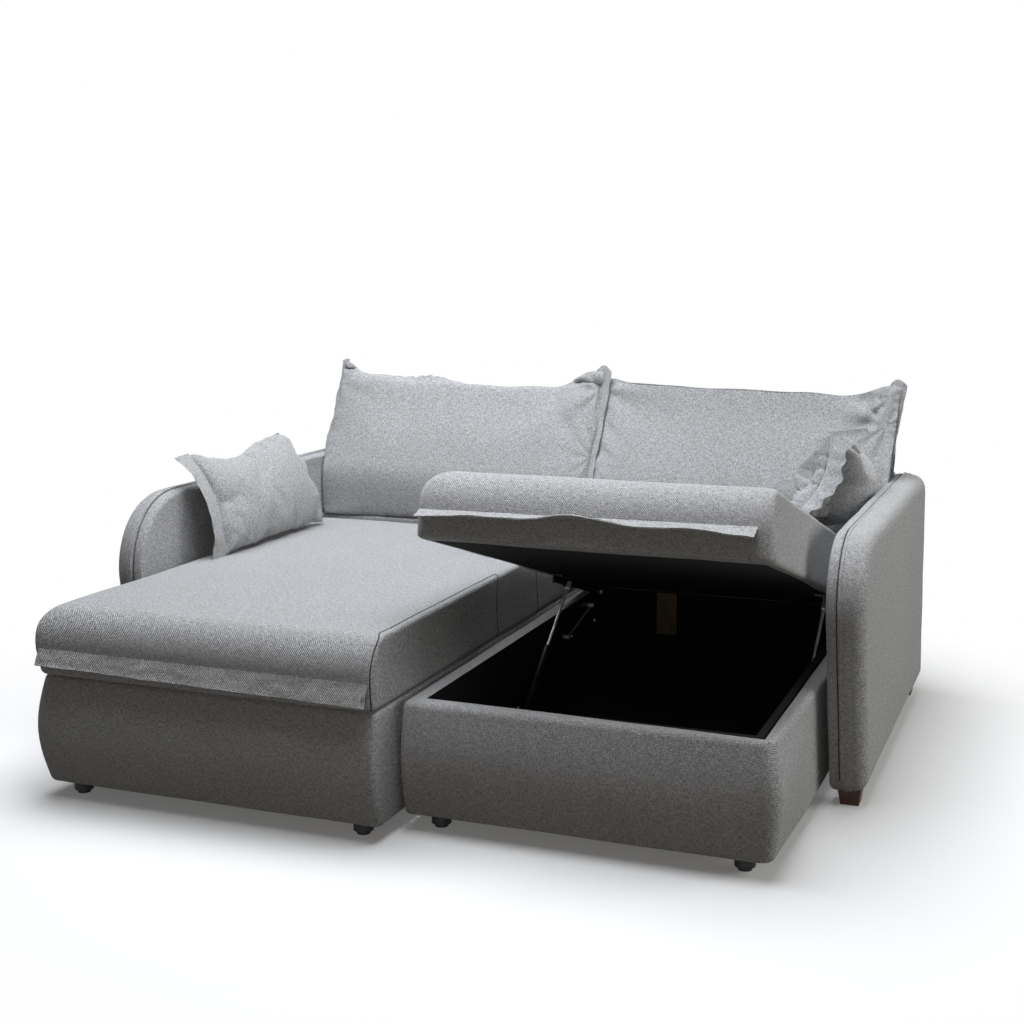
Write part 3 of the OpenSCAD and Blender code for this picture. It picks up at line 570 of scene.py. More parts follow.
def arm_section():
    """Across an arm's edge: distance from its inner face, and how far its outline is drawn in there."""
    section = [(ARM_INNER_R * c + 0.0004, ARM_INNER_R * s) for c, s in quarter(7)]
    for x in np.linspace(0.0145, 0.0485, 22):
        crown = 0.0035 * math.sin(math.pi * min(1, max(0, (x - 0.012) / 0.044)))
        section.append((x, groove(x - PIPING_IN + 0.004, 0.0050, 0.0050) - crown))
    return section + [(ARM_T - ARM_OUTER_R * s, ARM_OUTER_R * c) for c, s in quarter(12, 0.04)]


def cover_arm(side, sizes):
    """An arm's padded cover with its piping and the seam beside it."""
    centre = arm_loop(side, 0).mean(0)

    def face(edge, shares, place):
        return [[(place(s), *p) for p in centre + (edge - centre) * s] for s in shares]

    rows = face(arm_loop(side, ARM_INNER_R), np.linspace(0, 0.96, 30), lambda s: 0.0004 + 0.004 * s ** 6)
    rows += [[(x, *p) for p in arm_loop(side, inset)] for x, inset in arm_section()]
    rows += face(
        arm_loop(side, ARM_OUTER_R), np.linspace(0.96, 0, 30), lambda s: ARM_T + 0.003 * (1 - s ** 4))
    cover = wrapped(f"{side}_arm_cover", arm_place(side, rows))
    soften(cover, sizes.soft_dent * 0.7, 8.0, 4.3)
    lay_weave(cover, SIDE_DRAWN)
    dress(cover, melange_fabric(), "frame")
    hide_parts(f"{side}_arm_upholstery")
    # The piping leaves out the arm's underside
    sewn = [(PIPING_IN, *p) for p in arm_loop(side, -0.0012)[ARM_ARC + ARM_STEPS[0]:]]
    welt = tube(f"{side}_arm_welt", arm_place(side, sewn), sizes.welt_r)
    lay_weave(welt)
    dress(welt, melange_fabric(), "frame")
    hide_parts(f"{side}_arm_piping")
    # The seam is a thin tube sunk into the cover beside the piping; its dark colour is painted shade of the seam's
    # recess.
    beside = arm_place(side, [(PIPING_IN - 0.0058, p[1], p[2]) for p in sewn])
    seam = tube(f"{side}_arm_seam", on_surface(cover, beside, -0.0004), sizes.seam_r, 6)
    dress(seam, seam_with_painted_shade(), "frame")


class SOFA_OT_arms(bpy.types.Operator):
    """Padded arm covers with their piping"""
    bl_idname = "sofa.arms"
    bl_label = "Arms"

    def execute(self, context):
        for side in SIDES:
            cover_arm(side, context.scene.sofa_sizes)
        return {"FINISHED"}


# Back and deck

BACK_SEAMS = (-0.282, 0.282)


def bar(name, across, loop_at):
    """A padded bar along X, closed at its ends; loop_at gives its outline at a place."""
    return wrapped(name, capped([[(x, p[0] - MID[1], p[1]) for p in loop_at(x)] for x in across]))


class SOFA_OT_back(bpy.types.Operator):
    """Upholstered back with its seams, and the deck pad that the cushions stand on"""
    bl_idname = "sofa.back"
    bl_label = "Back and deck"

    def execute(self, context):
        sizes = context.scene.sofa_sizes
        half = (HALF["left"] + HALF["right"]) / 2 - SEAM_GAP
        corners = [(BACK_Y, BASE_Z), (REAR_Y, BASE_Z), (REAR_Y, ARM_TOP_Z), (BACK_Y, ARM_TOP_Z)]

        def back_loop(x):
            sunk = max(groove(x - s) for s in BACK_SEAMS)
            return outline(corners, [0.012, 0.012, 0.024, 0.024], sunk, 6, (6, 44, 6, 44))

        def deck_loop(x):
            low, far = SEAT_Z - 0.024, BACK_Y - SEAM_GAP
            deck = [(DECK_Y, low), (far, low), (far, SEAT_Z), (DECK_Y, SEAT_Z)]
            return outline(deck, [0.001, 0.001, 0.008, 0.008], 0, 4, (10, 3, 16, 3))

        cover = bar("back_cover", stations(-half, half, 0.012, BACK_SEAMS), back_loop)
        soften(cover, sizes.soft_dent, 7.0, 3.1)
        pad = bar("deck_cover", stations(-half, half, 0.012), deck_loop)
        for piece, node in ((cover, "back_upholstery"), (pad, "rear_deck_pad")):
            lay_weave(piece)
            dress(piece, melange_fabric(), "frame")
            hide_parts(node)
        return {"FINISHED"}


# Storage boxes

BOX_H = RIM_Z - BASE_Z
PAD_T = 0.025
BOARD_T = 0.015
FRONT_BULGE = 0.022
FRONT_DRAW = 0.010
# Radii of a box's front corners at its inner and outer side, and of the roundings at its cover's foot
# and rim
BOX_CORNER_R = (0.012, 0.034)
BOX_FOOT_R = 0.007
BOX_RIM_R = 0.011
# Width of the covered rim at a box's outer side
RIM_OUT = {"left": 0.040, "right": 0.018}
# How much narrower the open box's front rim gets towards its outer end
RIM_NARROW = 0.022
# Heights of the top and underside of the cloth that is folded over the boards, above their rim
RIM_RISE = (0.0006, 0.0002)
# How far the back of a pad stays off its board
PAD_CLEAR = 0.0004
# How far the open box's outer side stands out by the arm
SIDE_OUT = 0.012
SIDE_BULGE = 0.020


def cover_row(side, plan, level):
    """Outer places of a box cover at a level, following its bulges."""
    w, front, free = SEAT_W[side], SEAT_FRONT[side], FREE_Y[side]
    rise = math.sin(math.pi * level)
    points = []
    for x, y in plan:
        near_front = float(smoothstep((front + 0.05 - y) / 0.05))
        out_side = float(smoothstep((x - w + 0.04) / 0.04))
        along = float(np.clip((free - y) / (free - front), 0, 1))
        bulge = SIDE_BULGE * rise * along ** 0.7
        if side == "right":
            bulge += SIDE_OUT * (1 - along) * float(smoothstep((SEAT_D - y) / 0.4))
        points.append((
            x + out_side * bulge,
            y - near_front * (FRONT_BULGE * rise - FRONT_DRAW * (1 - level))))
    return points


def box_path(w, front):
    """Plan of a box cover's outer face, from the back of its inner side round its front."""
    side_n, front_n, arc = 70, 60, 8
    q, r = BOX_CORNER_R
    points = [(0.0, SEAT_D + (front + q - SEAT_D) * k / side_n) for k in range(side_n)]
    points += [(q * c, front + q * s) for c, s in quarter(arc)]
    points += [(q + (w - r - q) * k / front_n, front) for k in range(1, front_n)]
    points += [(w - r * s, front + r * c) for c, s in quarter(arc + 4)]
    points += [(w, front + r + (SEAT_D - front - r) * k / side_n) for k in range(1, side_n + 1)]
    return points


def cover_box(side, sizes):
    """A storage box's padded cover, rolled over the rim, and its lined boards."""
    w, front = SEAT_W[side], SEAT_FRONT[side]
    path = box_path(w, front)
    rim, back_of_pad = [], []
    for x, y in path:
        over = PAD_T + BOARD_T - (RIM_NARROW * (x / w) ** 1.5 if side == "right" else 0.0)
        rim.append((min(max(x, PAD_T + BOARD_T), w - RIM_OUT[side]), max(y, front + over)))
        behind = min(PAD_T, over - 0.001) - PAD_CLEAR
        beside = min(PAD_T, RIM_OUT[side] - 0.001) - PAD_CLEAR
        back_of_pad.append((min(max(x, PAD_T - PAD_CLEAR), w - beside), max(y, front + behind)))
    rows = []

    def add_row(points, z):
        rows.append([(x, y, z) for x, y in points])

    def add_level(level, inwards=0.0, rise=0.0):
        """The outer face at a level, moved a share of the way to the back of the pad"""
        points = zip(cover_row(side, path, level), back_of_pad)
        points = [(a[0] + (b[0] - a[0]) * inwards, a[1] + (b[1] - a[1]) * inwards) for a, b in points]
        add_row(points, BASE_Z + BOX_H * level + rise)

    add_row(back_of_pad, BASE_Z)
    add_level(0.0, 0.6)
    for c, s in quarter(5):
        add_level(BOX_FOOT_R * c / BOX_H, BOX_FOOT_R * s / PAD_T)
    for level in np.linspace(0.05, 0.94, 22):
        add_level(level)
    for c, s in quarter(6):
        add_level(1 - BOX_RIM_R * s / BOX_H, BOX_RIM_R * c / PAD_T, 0.0004 * (1 - s))
    add_level(1.0, 0.8, RIM_RISE[0])
    add_row(rim, RIM_Z + RIM_RISE[0])
    add_row(rim, RIM_Z + RIM_RISE[1])
    add_row(back_of_pad, RIM_Z + RIM_RISE[1])
    add_row(back_of_pad, BASE_Z)
    rows = capped(np.array(rows).transpose(1, 0, 2))
    cover = wrapped(f"{side}_box_cover", seat_place(side, rows), closed=False)
    soften(cover, sizes.soft_dent * 0.6, 6.0, 2.2)
    lay_weave(cover, SIDE_DRAWN)
    dress(cover, melange_fabric(), "frame")
    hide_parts(f"{side}_box_front_pad", f"{side}_box_inner_pad", f"{side}_box_outer_pad")
    for part in ("box_floor", "box_front_board", "box_rear_board", "box_side_boards"):
        paint(f"{side}_{part}", lining_cloth())


class SOFA_OT_boxes(bpy.types.Operator):
    """Padded covers of the two storage boxes, rolled over the rim, and the lined boards"""
    bl_idname = "sofa.boxes"
    bl_label = "Storage boxes"

    def execute(self, context):
        for side in SIDES:
            cover_box(side, context.scene.sofa_sizes)
        return {"FINISHED"}


# Lids

# Radii of the top roundings at a lid's inner and outer side, and how far its outer side leans in
ROUND = {"left": (0.012, 0.050), "right": (0.056, 0.012)}
LID_LEAN = {"left": 0.0, "right": 0.016}
LID_IN = {"left": 0.002, "right": 0.010}
LID_ARC = 6
LID_STEPS = (60, 96, 60, 96)
LOW_R = 0.010
# Reach and height of the rounding of a lid's front
TOP_R = 0.062
TOP_H = 0.092
# How far the hollow for a lid's board stays from the seat's sides, and how deep it is
HOLLOW_IN = 0.0337
HOLLOW_H = 0.0153
# How far along the left lid's side its border seam runs, and where the next seam goes down
SEAM_END_Y = 0.71
SEAM_DOWN_Y = 0.97


def rolled(z, radius):
    """How far a lid's edge is drawn in at a height by its top rounding."""
    up = max(0.0, z - LID_T + radius)
    return radius - math.sqrt(max(0.0, radius ** 2 - up ** 2))


def rolled_front(z):
    """How far a lid's front is drawn in at a height."""
    up = max(0.0, z - LID_T + TOP_H) / TOP_H
    return TOP_R * (1 - math.sqrt(max(0.0, 1 - up ** 2)))


def lid_front(side, z):
    """Where a lid's front is at a height."""
    return SEAT_FRONT[side] - 0.010 - 0.008 * math.sin(math.pi * z / LID_T) + rolled_front(z)


def lid_outline(side, z, low_in):
    """Outline of a lid at a height, taken in by low_in and by its top roundings."""
    w, lid_in = SEAT_W[side], LID_IN[side]
    inner, outer = (rolled(z, r) for r in ROUND[side])
    x0, x1 = lid_in + low_in + inner, w - lid_in - low_in - outer - LID_LEAN[side] * z / LID_T
    y0 = lid_front(side, z) + low_in
    y1 = LID_BACK_Y - 0.038 * z / LID_T - low_in - rolled(z, 0.014)
    radii = [0.022, 0.022, 0.012, 0.012]
    found = outline([(x0, y0), (x1, y0), (x1, y1), (x0, y1)], radii, 0, LID_ARC, LID_STEPS)
    if side == "left":
        free = smoothstep((FREE_Y[side] - found[:, 1]) / 0.2)
        outer_half = smoothstep((found[:, 0] - w / 2) / (w / 2))
        found[:, 0] += 0.012 * math.sin(0.8 * math.pi * z / LID_T) * outer_half * free
    return found


def lid_levels():
    """Height and draw-in of each ring of a lid, from the bottom up."""
    levels = [(LOW_R * c, LOW_R * s) for c, s in quarter(5)]
    levels += [(z, 0.0) for z in np.linspace(0.018, 0.058, 5)]
    return levels + [(LID_T - TOP_H * s, 0.0) for _, s in quarter(21)]


def lid_seam_paths(side):
    """Seams of a lid's border: along its crisp top edge, on the left lid also up its front corner and down
    its side twice."""
    rings = [[(p[0], p[1], LID_Z + level[0]) for p in lid_outline(side, *level)] for level in lid_levels()]
    top = rings[-1]
    if side == "right":
        start = 2 * LID_ARC + LID_STEPS[0] + 1
        return [top[start:start - 1 + LID_STEPS[1]]]
    edge = range(len(top) - 1, len(top) - LID_STEPS[3] + 1, -1)
    along = [k for k in edge if top[k][1] < SEAM_END_Y]
    second = [k for k in edge if top[k][1] < SEAM_DOWN_Y][-1]
    first = [ring[LID_ARC // 2] for ring in rings] + [top[k] for k in along]
    return first + [ring[along[-1]] for ring in reversed(rings)], [ring[second] for ring in reversed(rings)]


def cover_lid(side, sizes):
    """A crowned lid cushion with the seams of its border, and its lined board."""
    w, front = SEAT_W[side], SEAT_FRONT[side]
    x0, x1, y0, y1 = HOLLOW_IN, w - HOLLOW_IN, front + HOLLOW_IN, LID_BACK_Y - HOLLOW_IN
    hole = outline([(x0, y0), (x1, y0), (x1, y1), (x0, y1)], [0.001] * 4, 0, LID_ARC, LID_STEPS)
    rows = [[(w / 2, (y0 + y1) / 2, LID_Z + HOLLOW_H)] * len(hole)]
    rows += [[(p[0], p[1], z) for p in hole] for z in (LID_Z + HOLLOW_H, LID_Z)]
    for z, low_in in lid_levels():
        rows.append([(p[0], p[1], LID_Z + z) for p in lid_outline(side, z, low_in)])
    top = np.array(rows[-1])
    mid = (top.max(0) + top.min(0)) / 2
    reach = np.abs(top - mid).max(0) + 1e-9
    for s in np.linspace(1, 0, 56)[1:]:
        flat = mid + (top - mid) * s
        share = np.abs(flat - mid) / reach
        flat[:, 2] = mid[2] + LID_CROWN * (1 - share[:, 0] ** 2.4) * (1 - share[:, 1] ** 2.8)
        rows.append(flat.tolist())
    cover = wrapped(f"{side}_lid_cover", seat_place(side, rows))
    soften(cover, sizes.soft_dent, 5.0, 1.7)
    # The seams are thin tubes sunk into the cover along its border; their dark colour is painted shade of the seam
    # lines.
    seams = []
    for n, path in enumerate(lid_seam_paths(side)):
        sewn = on_surface(cover, eased(seat_place(side, path)), -0.0003)
        seams.append(tube(f"{side}_lid_seam_{n + 1}", sewn, sizes.seam_r, 6))
    for piece in (cover, *seams):
        lay_weave(piece, SIDE_DRAWN)
        lift(piece, side)
        dress(piece, melange_fabric() if piece == cover else seam_with_painted_shade(), f"{side}_lid")
    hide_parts(f"{side}_lid_cushion")
    paint(f"{side}_lid_board", lining_cloth())


class SOFA_OT_lids(bpy.types.Operator):
    """Crowned lid cushions with the seams of their borders"""
    bl_idname = "sofa.lids"
    bl_label = "Lid cushions"

    def execute(self, context):
        for side in SIDES:
            cover_lid(side, context.scene.sofa_sizes)
        return {"FINISHED"}


# Rise of a pull flange's sewn and free edge above the lid's underside, each at its inner and outer end,
# the free edge's reach in front of the seat, and how far its ends stay from the lid's
PULL_ROOT = {"left": (0.064, 0.064), "right": (0.061, 0.069)}
PULL_TIP = {"left": (0.016, 0.029), "right": (0.041, 0.045)}
PULL_REACH = {"left": 0.034, "right": 0.050}
PULL_END_IN = {"left": (0.010, 0.010), "right": (0.010, 0.037)}
# Where the open lid's flange lifts in a wave, how wide and how high, and its lift all along
PULL_CREST = (0.37, 0.085, 0.014)
PULL_LIFT = 0.007


def hang_flange(side, sizes):
    """A doubled fabric flange that hangs from the front of a lid."""
    w, front, (inner, outer) = SEAT_W[side], SEAT_FRONT[side], PULL_END_IN[side]
    x0, x1 = LID_IN[side] + inner, w - LID_IN[side] - outer
    seed = 2.0 if side == "left" else 7.5
    rows = []
    for v in np.linspace(0, 1, 13):
        row = []
        for x in np.linspace(x0, x1, 201):
            wave = noisy(x * 7, seed, 0) + 0.5 * noisy(x * 19, seed, 4)
            pucker = noisy(x * 26, v * 1.6, seed) + 0.6 * noisy(x * 60, v * 3, seed)
            out = sizes.flange_wave * wave * v + 0.0028 * pucker * math.sin(math.pi * v)
            root, tip = (a + (b - a) * x / w for a, b in (PULL_ROOT[side], PULL_TIP[side]))
            root_y = lid_front(side, root) + 0.0008
            y = root_y - (root_y - front + PULL_REACH[side]) * v
            z = LID_Z + root + (tip - root) * v - groove(v - 0.84, 0.0008, 0.07)
            if side == "right":
                at, wide, high = PULL_CREST
                crest = high * math.exp(-((x - at) / wide) ** 2) + PULL_LIFT * math.sin(math.pi * x / w)
                z += out + crest * v ** 2
            else:
                y += out
                z += 0.003 * noisy(x * 6, seed, 9) * v
            row.append((x, y, z))
        rows.append(row)
    piece = wrapped(f"{side}_pull_flange_cloth", seat_place(side, rows), closed=False)
    modified(piece, "SOLIDIFY", thickness=sizes.flange_t, offset=0)
    lay_weave(piece)
    lift(piece, side)
    dress(piece, melange_fabric(), f"{side}_lid")
    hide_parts(f"{side}_pull_flange")


class SOFA_OT_pull_flanges(bpy.types.Operator):
    """Doubled fabric flanges by which the lids are lifted"""
    bl_idname = "sofa.pull_flanges"
    bl_label = "Pull flanges"

    def execute(self, context):
        for side in SIDES:
            hang_flange(side, context.scene.sofa_sizes)
        return {"FINISHED"}


# Loose cushions

def filled_case(name, shape, cells, thickness, fullness, boxy):
    """Two panels sewn round an outline and filled by cloth pressure, lying flat with Z through them."""
    panels = []
    for face in (1, -1):
        panel = grid(*cells)
        u, v = places(panel)[:, :2].T.copy()
        x, y = shape(u, v)
        z = face * 0.3 * thickness * np.sqrt(np.maximum(0, (1 - u ** 2) * (1 - v ** 2)))
        move_to(panel, np.stack([x, y, z], 1))
        loops = attribute(panel.data.loops, "vertex_index", kind=int)
        set_weave(panel.data, np.stack([x, y + (0 if face > 0 else 1)], 1)[loops])
        panels.append(panel)
    case = joined(*panels)
    case.name = case.data.name = name
    tidy_mesh(case, 1e-5)
    sewn = case.vertex_groups.new(name="sewn")
    sewn.add([int(i) for i in np.flatnonzero(np.abs(places(case)[:, 2]) < 1e-6)], 1.0, "REPLACE")
    only(case)
    bpy.ops.object.modifier_add(type="CLOTH")
    cloth = case.modifiers[-1]
    wanted = {
        "quality": 7, "mass": 0.25, "tension_stiffness": 20, "compression_stiffness": 20, "shear_stiffness": 6,
        "bending_stiffness": 0.25, "air_damping": 2.0, "use_pressure": True, "uniform_pressure_force": 4.0,
        "shrink_min": -fullness, "vertex_group_mass": "sewn"}
    for key, value in wanted.items():
        setattr(cloth.settings, key, value)
    cloth.settings.effector_weights.gravity = 0
    cloth.point_cache.frame_start = 1
    cloth.point_cache.frame_end = bpy.context.scene.sofa_sizes.cloth_frames
    for f in range(1, cloth.point_cache.frame_end + 1):
        bpy.context.scene.frame_set(f)
    bpy.ops.object.modifier_apply(modifier=cloth.name)
    bpy.context.scene.frame_set(1)
    case.vertex_groups.clear()
    modified(case, "SUBSURF", levels=1, render_levels=1)
    co = places(case)
    far = np.abs(co[:, 2]).max()
    co[:, 2] = np.sign(co[:, 2]) * thickness / 2 * (np.abs(co[:, 2]) / far) ** boxy
    move_to(case, co)
    return case


def gather(case, *pinches):
    """Small folds that run out from pinched places on a case lying flat: place, reach, depth and number."""
    points = places(case)
    for at, reach, depth, folds in pinches:
        across = points[:, :2] - np.array(at)
        far = np.hypot(across[:, 0], across[:, 1])
        angle = np.arctan2(across[:, 1], across[:, 0])
        fall = (far / reach) * np.exp(1 - (far / reach)) * np.exp(-(far / (2.2 * reach)) ** 2)
        points[:, 2] += np.sign(points[:, 2]) * depth * fall * np.cos(folds * angle + 0.6 * np.sin(3 * angle))
    move_to(case, points)


def sewn_path(shape, stops, steps):
    """Places along a case's outline between stops given as (u, v), the ways out from it and the share run."""
    u, v = [], []
    for (u0, v0), (u1, v1), n in zip(stops, stops[1:], steps):
        t = np.arange(n) / n
        u += list(u0 + (u1 - u0) * t)
        v += list(v0 + (v1 - v0) * t)
    u.append(stops[-1][0])
    v.append(stops[-1][1])
    path = np.stack(shape(np.array(u), np.array(v)), 1)
    ahead = eased(np.gradient(path, axis=0), 4)
    out = np.stack([-ahead[:, 1], ahead[:, 0]], 1)
    return path, out / np.linalg.norm(out, axis=1)[:, None], np.arange(len(path)) / (len(path) - 1)


CUSHION_T = 0.150
CUSHION_FOOT_D = 0.186
# How far a cushion's face swells forward over its foot, and how far the foot itself is tucked under
FOOT_OUT = 0.056
FOOT_TUCK = 0.050
FACE_LEAN = math.radians(15.5)
REAR_LEAN = math.radians(7)
# For each back cushion: its sides, the height of the middle of its top, the height and reach of its two
# ears and of its slope over it, how far each side bulges at half height, how far its top corners lean
# out, how much its seams lie towards its front at each side, where its right side is pinched, the rise
# of its rear half, and the place, width and height of a hump on it
CUSHIONS = {
    "left": {"x": (-0.852, 0.001), "mid": 0.403, "ears": ((0.030, 0.050), (0.058, 0.115)), "slope": (0.042, 0.22),
             "belly": (0.012, -0.005), "spread": (-0.004, 0.014), "forward": (1.1, 1.0), "pinch": 0.215,
             "rise": 0.000, "hump": (-0.150, 0.090, 0.046), "seed": 1.0},
    "right": {"x": (0.004, 0.831), "mid": 0.405, "ears": ((0.012, 0.050), (0.040, 0.085)), "slope": (0.024, 0.16),
              "belly": (0.0, -0.004), "spread": (0.0, 0.032), "forward": (0.0, 0.6), "pinch": 0.335,
              "rise": -0.005, "hump": (0.0, 0.090, 0.0), "seed": 5.0},
}
# Flanges of a back cushion: stops along its outline, steps between them, and width
CUSHION_FLANGES = (([(0.93, 1), (1, 1), (1, -0.9)], (14, 70), 0.013),
                   ([(-1, -0.9), (-1, 1), (-0.96, 1)], (60, 6), 0.004))


def fill_cushion(side, sizes):
    """A loose back cushion that leans on the back."""
    spec = CUSHIONS[side]
    x0, x1 = spec["x"]
    w = x1 - x0
    mid_h, seed = spec["mid"], spec["seed"]

    def shape(u, v):
        ear = spec["slope"][0] * np.exp(-(1 + u) * w / 2 / spec["slope"][1])
        for sign, (height, reach) in zip((1, -1), spec["ears"]):
            away = np.clip(1 + sign * u, 0, 2) * w / 2
            ear += height * np.exp(-(away / reach) ** 3) - 0.009 * np.exp(-(away / 0.009) ** 2)
        share = np.clip((v + 1) / 2, 0, 1)
        y = share * mid_h + (ear + 0.006 * ripples(u, 4.2, seed, 0.5) * (1 - u ** 8)) * share ** 3
        x = u * w / 2
        for sign, belly, spread in zip((-1, 1), spec["belly"], spec["spread"]):
            near = np.clip(sign * u, 0, 1)
            x += sign * (belly * np.sin(math.pi * share ** 0.8) * near ** 3 + spread * share ** 2 * near)
        return x, y

    cells = (round(w / sizes.cushion_cell), round(mid_h / sizes.cushion_cell))
    name = f"{side}_back_cushion_case"
    case = filled_case(name, shape, cells, CUSHION_T, sizes.cloth_growth * 0.6, 0.55)
    gather(case, ((w / 2, spec["pinch"]), 0.075, 0.0100, 9), ((w / 2, mid_h), 0.10, 0.0090, 7),
           ((-w / 2, mid_h), 0.09, 0.0050, 6))
    soften(case, 0.0035, 5.5, seed)
    strips = []
    for stops, steps, wide in CUSHION_FLANGES:
        path, out, run = sewn_path(shape, stops, steps)
        ends = smoothstep(run / 0.08) * smoothstep((1 - run) / 0.08)
        ripple = ripples(run, 9, seed, 2.0) + 0.6 * ripples(run, 24, seed, 6.0)
        width = (wide + 0.004 * ripple) * ends + 0.001
        strips.append(flange(path, out, width, sizes.flange_wave * ripple * ends * wide / 0.008))
    case = joined(case, *strips)
    co = places(case)
    v = co[:, 1]
    low = BACK_Y - SEAM_GAP - CUSHION_FOOT_D + v * math.tan(FACE_LEAN)
    low -= FOOT_OUT * (1 - smoothstep(v / 0.42)) - FOOT_TUCK * (1 - smoothstep(v / 0.17))
    high = BACK_Y - SEAM_GAP + np.maximum(0, v - ARM_TOP_Z + SEAT_Z + 0.022) * math.tan(REAR_LEAN)
    share = co[:, 0] / (w / 2)
    seam_bias = 1.15 + 1.7 * smoothstep((0.36 - v) / 0.36)
    for sign, forward in zip((-1, 1), spec["forward"]):
        seam_bias += forward * smoothstep((sign * share - 0.6) / 0.4)
    depth = np.clip(0.5 - co[:, 2] / CUSHION_T, 0, 1) ** seam_bias
    at, wide, high_up = spec["hump"]
    swell = spec["rise"] + 0.006 * ripples(co[:, 0], 5, seed, 3.0)
    swell += high_up * np.exp(-((co[:, 0] - at) / wide) ** 2)
    hump = swell * np.clip(-co[:, 2] / CUSHION_T * 5, 0, 1) * smoothstep((v - 0.26) / 0.12)
    x = co[:, 0] + (x0 + x1) / 2 - MID[0]
    y = low + (high - low) * depth - MID[1]
    z = np.maximum(SEAT_Z + 0.0006, SEAT_Z - 0.006 + v + hump)
    # Beside an arm a cushion stays inside the arm's face
    edge = SIGN[side] * (HALF[side] - 0.002) - MID[0]
    inside = np.minimum(x, edge) if side == "right" else np.maximum(x, edge)
    x = np.where(z < ARM_TOP_Z - 0.01, inside, x)
    move_to(case, np.stack([x, y, z], 1))
    tidy_mesh(case)
    dress(case, melange_fabric(), "frame")
    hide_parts(f"{side}_back_cushion")


class SOFA_OT_back_cushions(bpy.types.Operator):
    """Loose back cushions, filled by cloth pressure and leant on the back"""
    bl_idname = "sofa.back_cushions"
    bl_label = "Back cushions"

    def execute(self, context):
        for side in SIDES:
            fill_cushion(side, context.scene.sofa_sizes)
        return {"FINISHED"}


# For each throw pillow: its length, height and thickness, where its flange starts and how wide it is,
# its lean in degrees at foot and top, and its share of the cloth's fullness
PILLOWS = {
    "left": (0.540, 0.296, 0.084, 0.600, 0.050, (-12, 50), 0.7),
    "right": (0.250, 0.252, 0.118, 0.962, 0.026, (50, -8), 0.3),
}
# Up to how far above an arm's top a pillow stays inside the arm's face, and how far behind its flange's
# start its own outline begins
PILLOW_CLEAR = 0.030
PILLOW_FRONT = 0.042
# The right pillow's thickness is drawn out by these factors: inwards, and outwards at foot and top
PILLOW_INWARDS = 1.65
PILLOW_OUTWARDS = (1.15, 1.95)


def lean_pillow(side, sizes):
    """A throw pillow that leans over its arm and rides on its lid."""
    l, h, t, front_y, flange_w, lean, fullness = PILLOWS[side]

    def shape(u, v):
        x = u * (l / 2 - 0.005 * (1 - v ** 2)) + 0.012 * (u + 1) / 2 * np.clip(-v, 0, 1) ** 3
        y = v * (h / 2 - 0.010 * (1 - u ** 4) - 0.002 * np.cos(9 * u))
        if side == "left":
            up = np.clip((v + 1) / 2, 0, 1)
            x = x - 0.050 * up ** 1.2 * np.clip((u + 1) / 2, 0, 1) ** 2
            dip = 0.036 * np.exp(-((u + 0.35) / 0.45) ** 2) - 0.006 * np.exp(-((u - 0.75) / 0.25) ** 2)
            y = y - up ** 2 * dip
        return x, y

    cell = sizes.cushion_cell * 0.75
    cells = (round(l / cell), round(h / cell))
    case = filled_case(f"{side}_throw_pillow_case", shape, cells, t, sizes.cloth_growth * fullness, 0.62)
    gather(case, ((-l / 2, -h / 2), 0.06, 0.0035, 7), ((l / 2, h / 2), 0.07, 0.0035, 7))
    path, out, run = sewn_path(shape, [(-1, -1), (-1, 1)], (60,))
    ripple = ripples(run, 5, l, 2.0) + 0.5 * ripples(run, 13, l, 6.0)
    width = flange_w * (1 - 0.10 * np.sin(math.pi * run)) + 0.002 * ripple
    wave = sizes.flange_wave * ripple
    if side == "right":
        wave = 1.8 * wave - 0.026 - 0.022 * smoothstep((run - 0.80) / 0.20)
    else:
        width += 0.012 * smoothstep((run - 0.7) / 0.3)
    case = joined(case, flange(path, out, width, wave))
    co = places(case)
    up = co[:, 1] / h + 0.5
    if side == "right":
        foot, top = PILLOW_OUTWARDS
        co[:, 2] *= np.where(co[:, 2] > 0, PILLOW_INWARDS, foot + (top - foot) * smoothstep(up / 0.6))
        move_to(case, co)
        lay_weave(case)
    a0, turn = math.radians(lean[0]), math.radians(lean[1] - lean[0])
    r, a = h / turn, a0 + turn * up
    x = r * (math.cos(a0) - np.cos(a)) - co[:, 2] * np.cos(a)
    z = r * (np.sin(a) - math.sin(a0)) + co[:, 2] * np.sin(a)
    y = co[:, 0] + front_y + PILLOW_FRONT + l / 2
    hump = 0.022 * np.clip(-co[:, 2] / t * 2, 0, 1) * smoothstep((co[:, 1] - 0.06) / 0.06)
    z += hump * np.exp(-((co[:, 0] / l - 0.24) / 0.16) ** 2)
    reach = x[z < ARM_TOP_Z - SEAT_Z + PILLOW_CLEAR].max() + SEAM_GAP
    if side == "left":
        x -= 0.020 * np.clip(1 - (z - z.min()) / 0.2, 0, 1) ** 2
    foot_z = shut_foot(f"{side}_throw_pillow", side)
    move_to(case, arm_place(side, np.stack([x - reach, y, z - z.min() + foot_z], 1)))
    tidy_mesh(case)
    lift(case, side)
    dress(case, melange_fabric(), f"{side}_lid")
    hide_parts(f"{side}_throw_pillow")


class SOFA_OT_throw_pillows(bpy.types.Operator):
    """Throw pillows that lean over the arms"""
    bl_idname = "sofa.throw_pillows"
    bl_label = "Throw pillows"

    def execute(self, context):
        for side in SIDES:
            lean_pillow(side, context.scene.sofa_sizes)
        return {"FINISHED"}


# Feet and fittings

# Distance of the steel plates' faces from a seat's sides, and depth and height of their screws
PLATE_IN = 0.044
SCREWS = ((1.095, 0.202), (1.295, 0.202), (0.652, 0.072), (0.684, 0.072), (0.652, 0.116), (0.684, 0.116))
# Profile of a pan head with its drive recess: radius, and how far it stands out
SCREW_HEAD = ((0, 0), (0.0046, 0), (0.0046, 0.0006), (0.0040, 0.0014),
              (0.0026, 0.0021), (0.0016, 0.0022), (0.0011, 0.0010), (0, 0.0010))


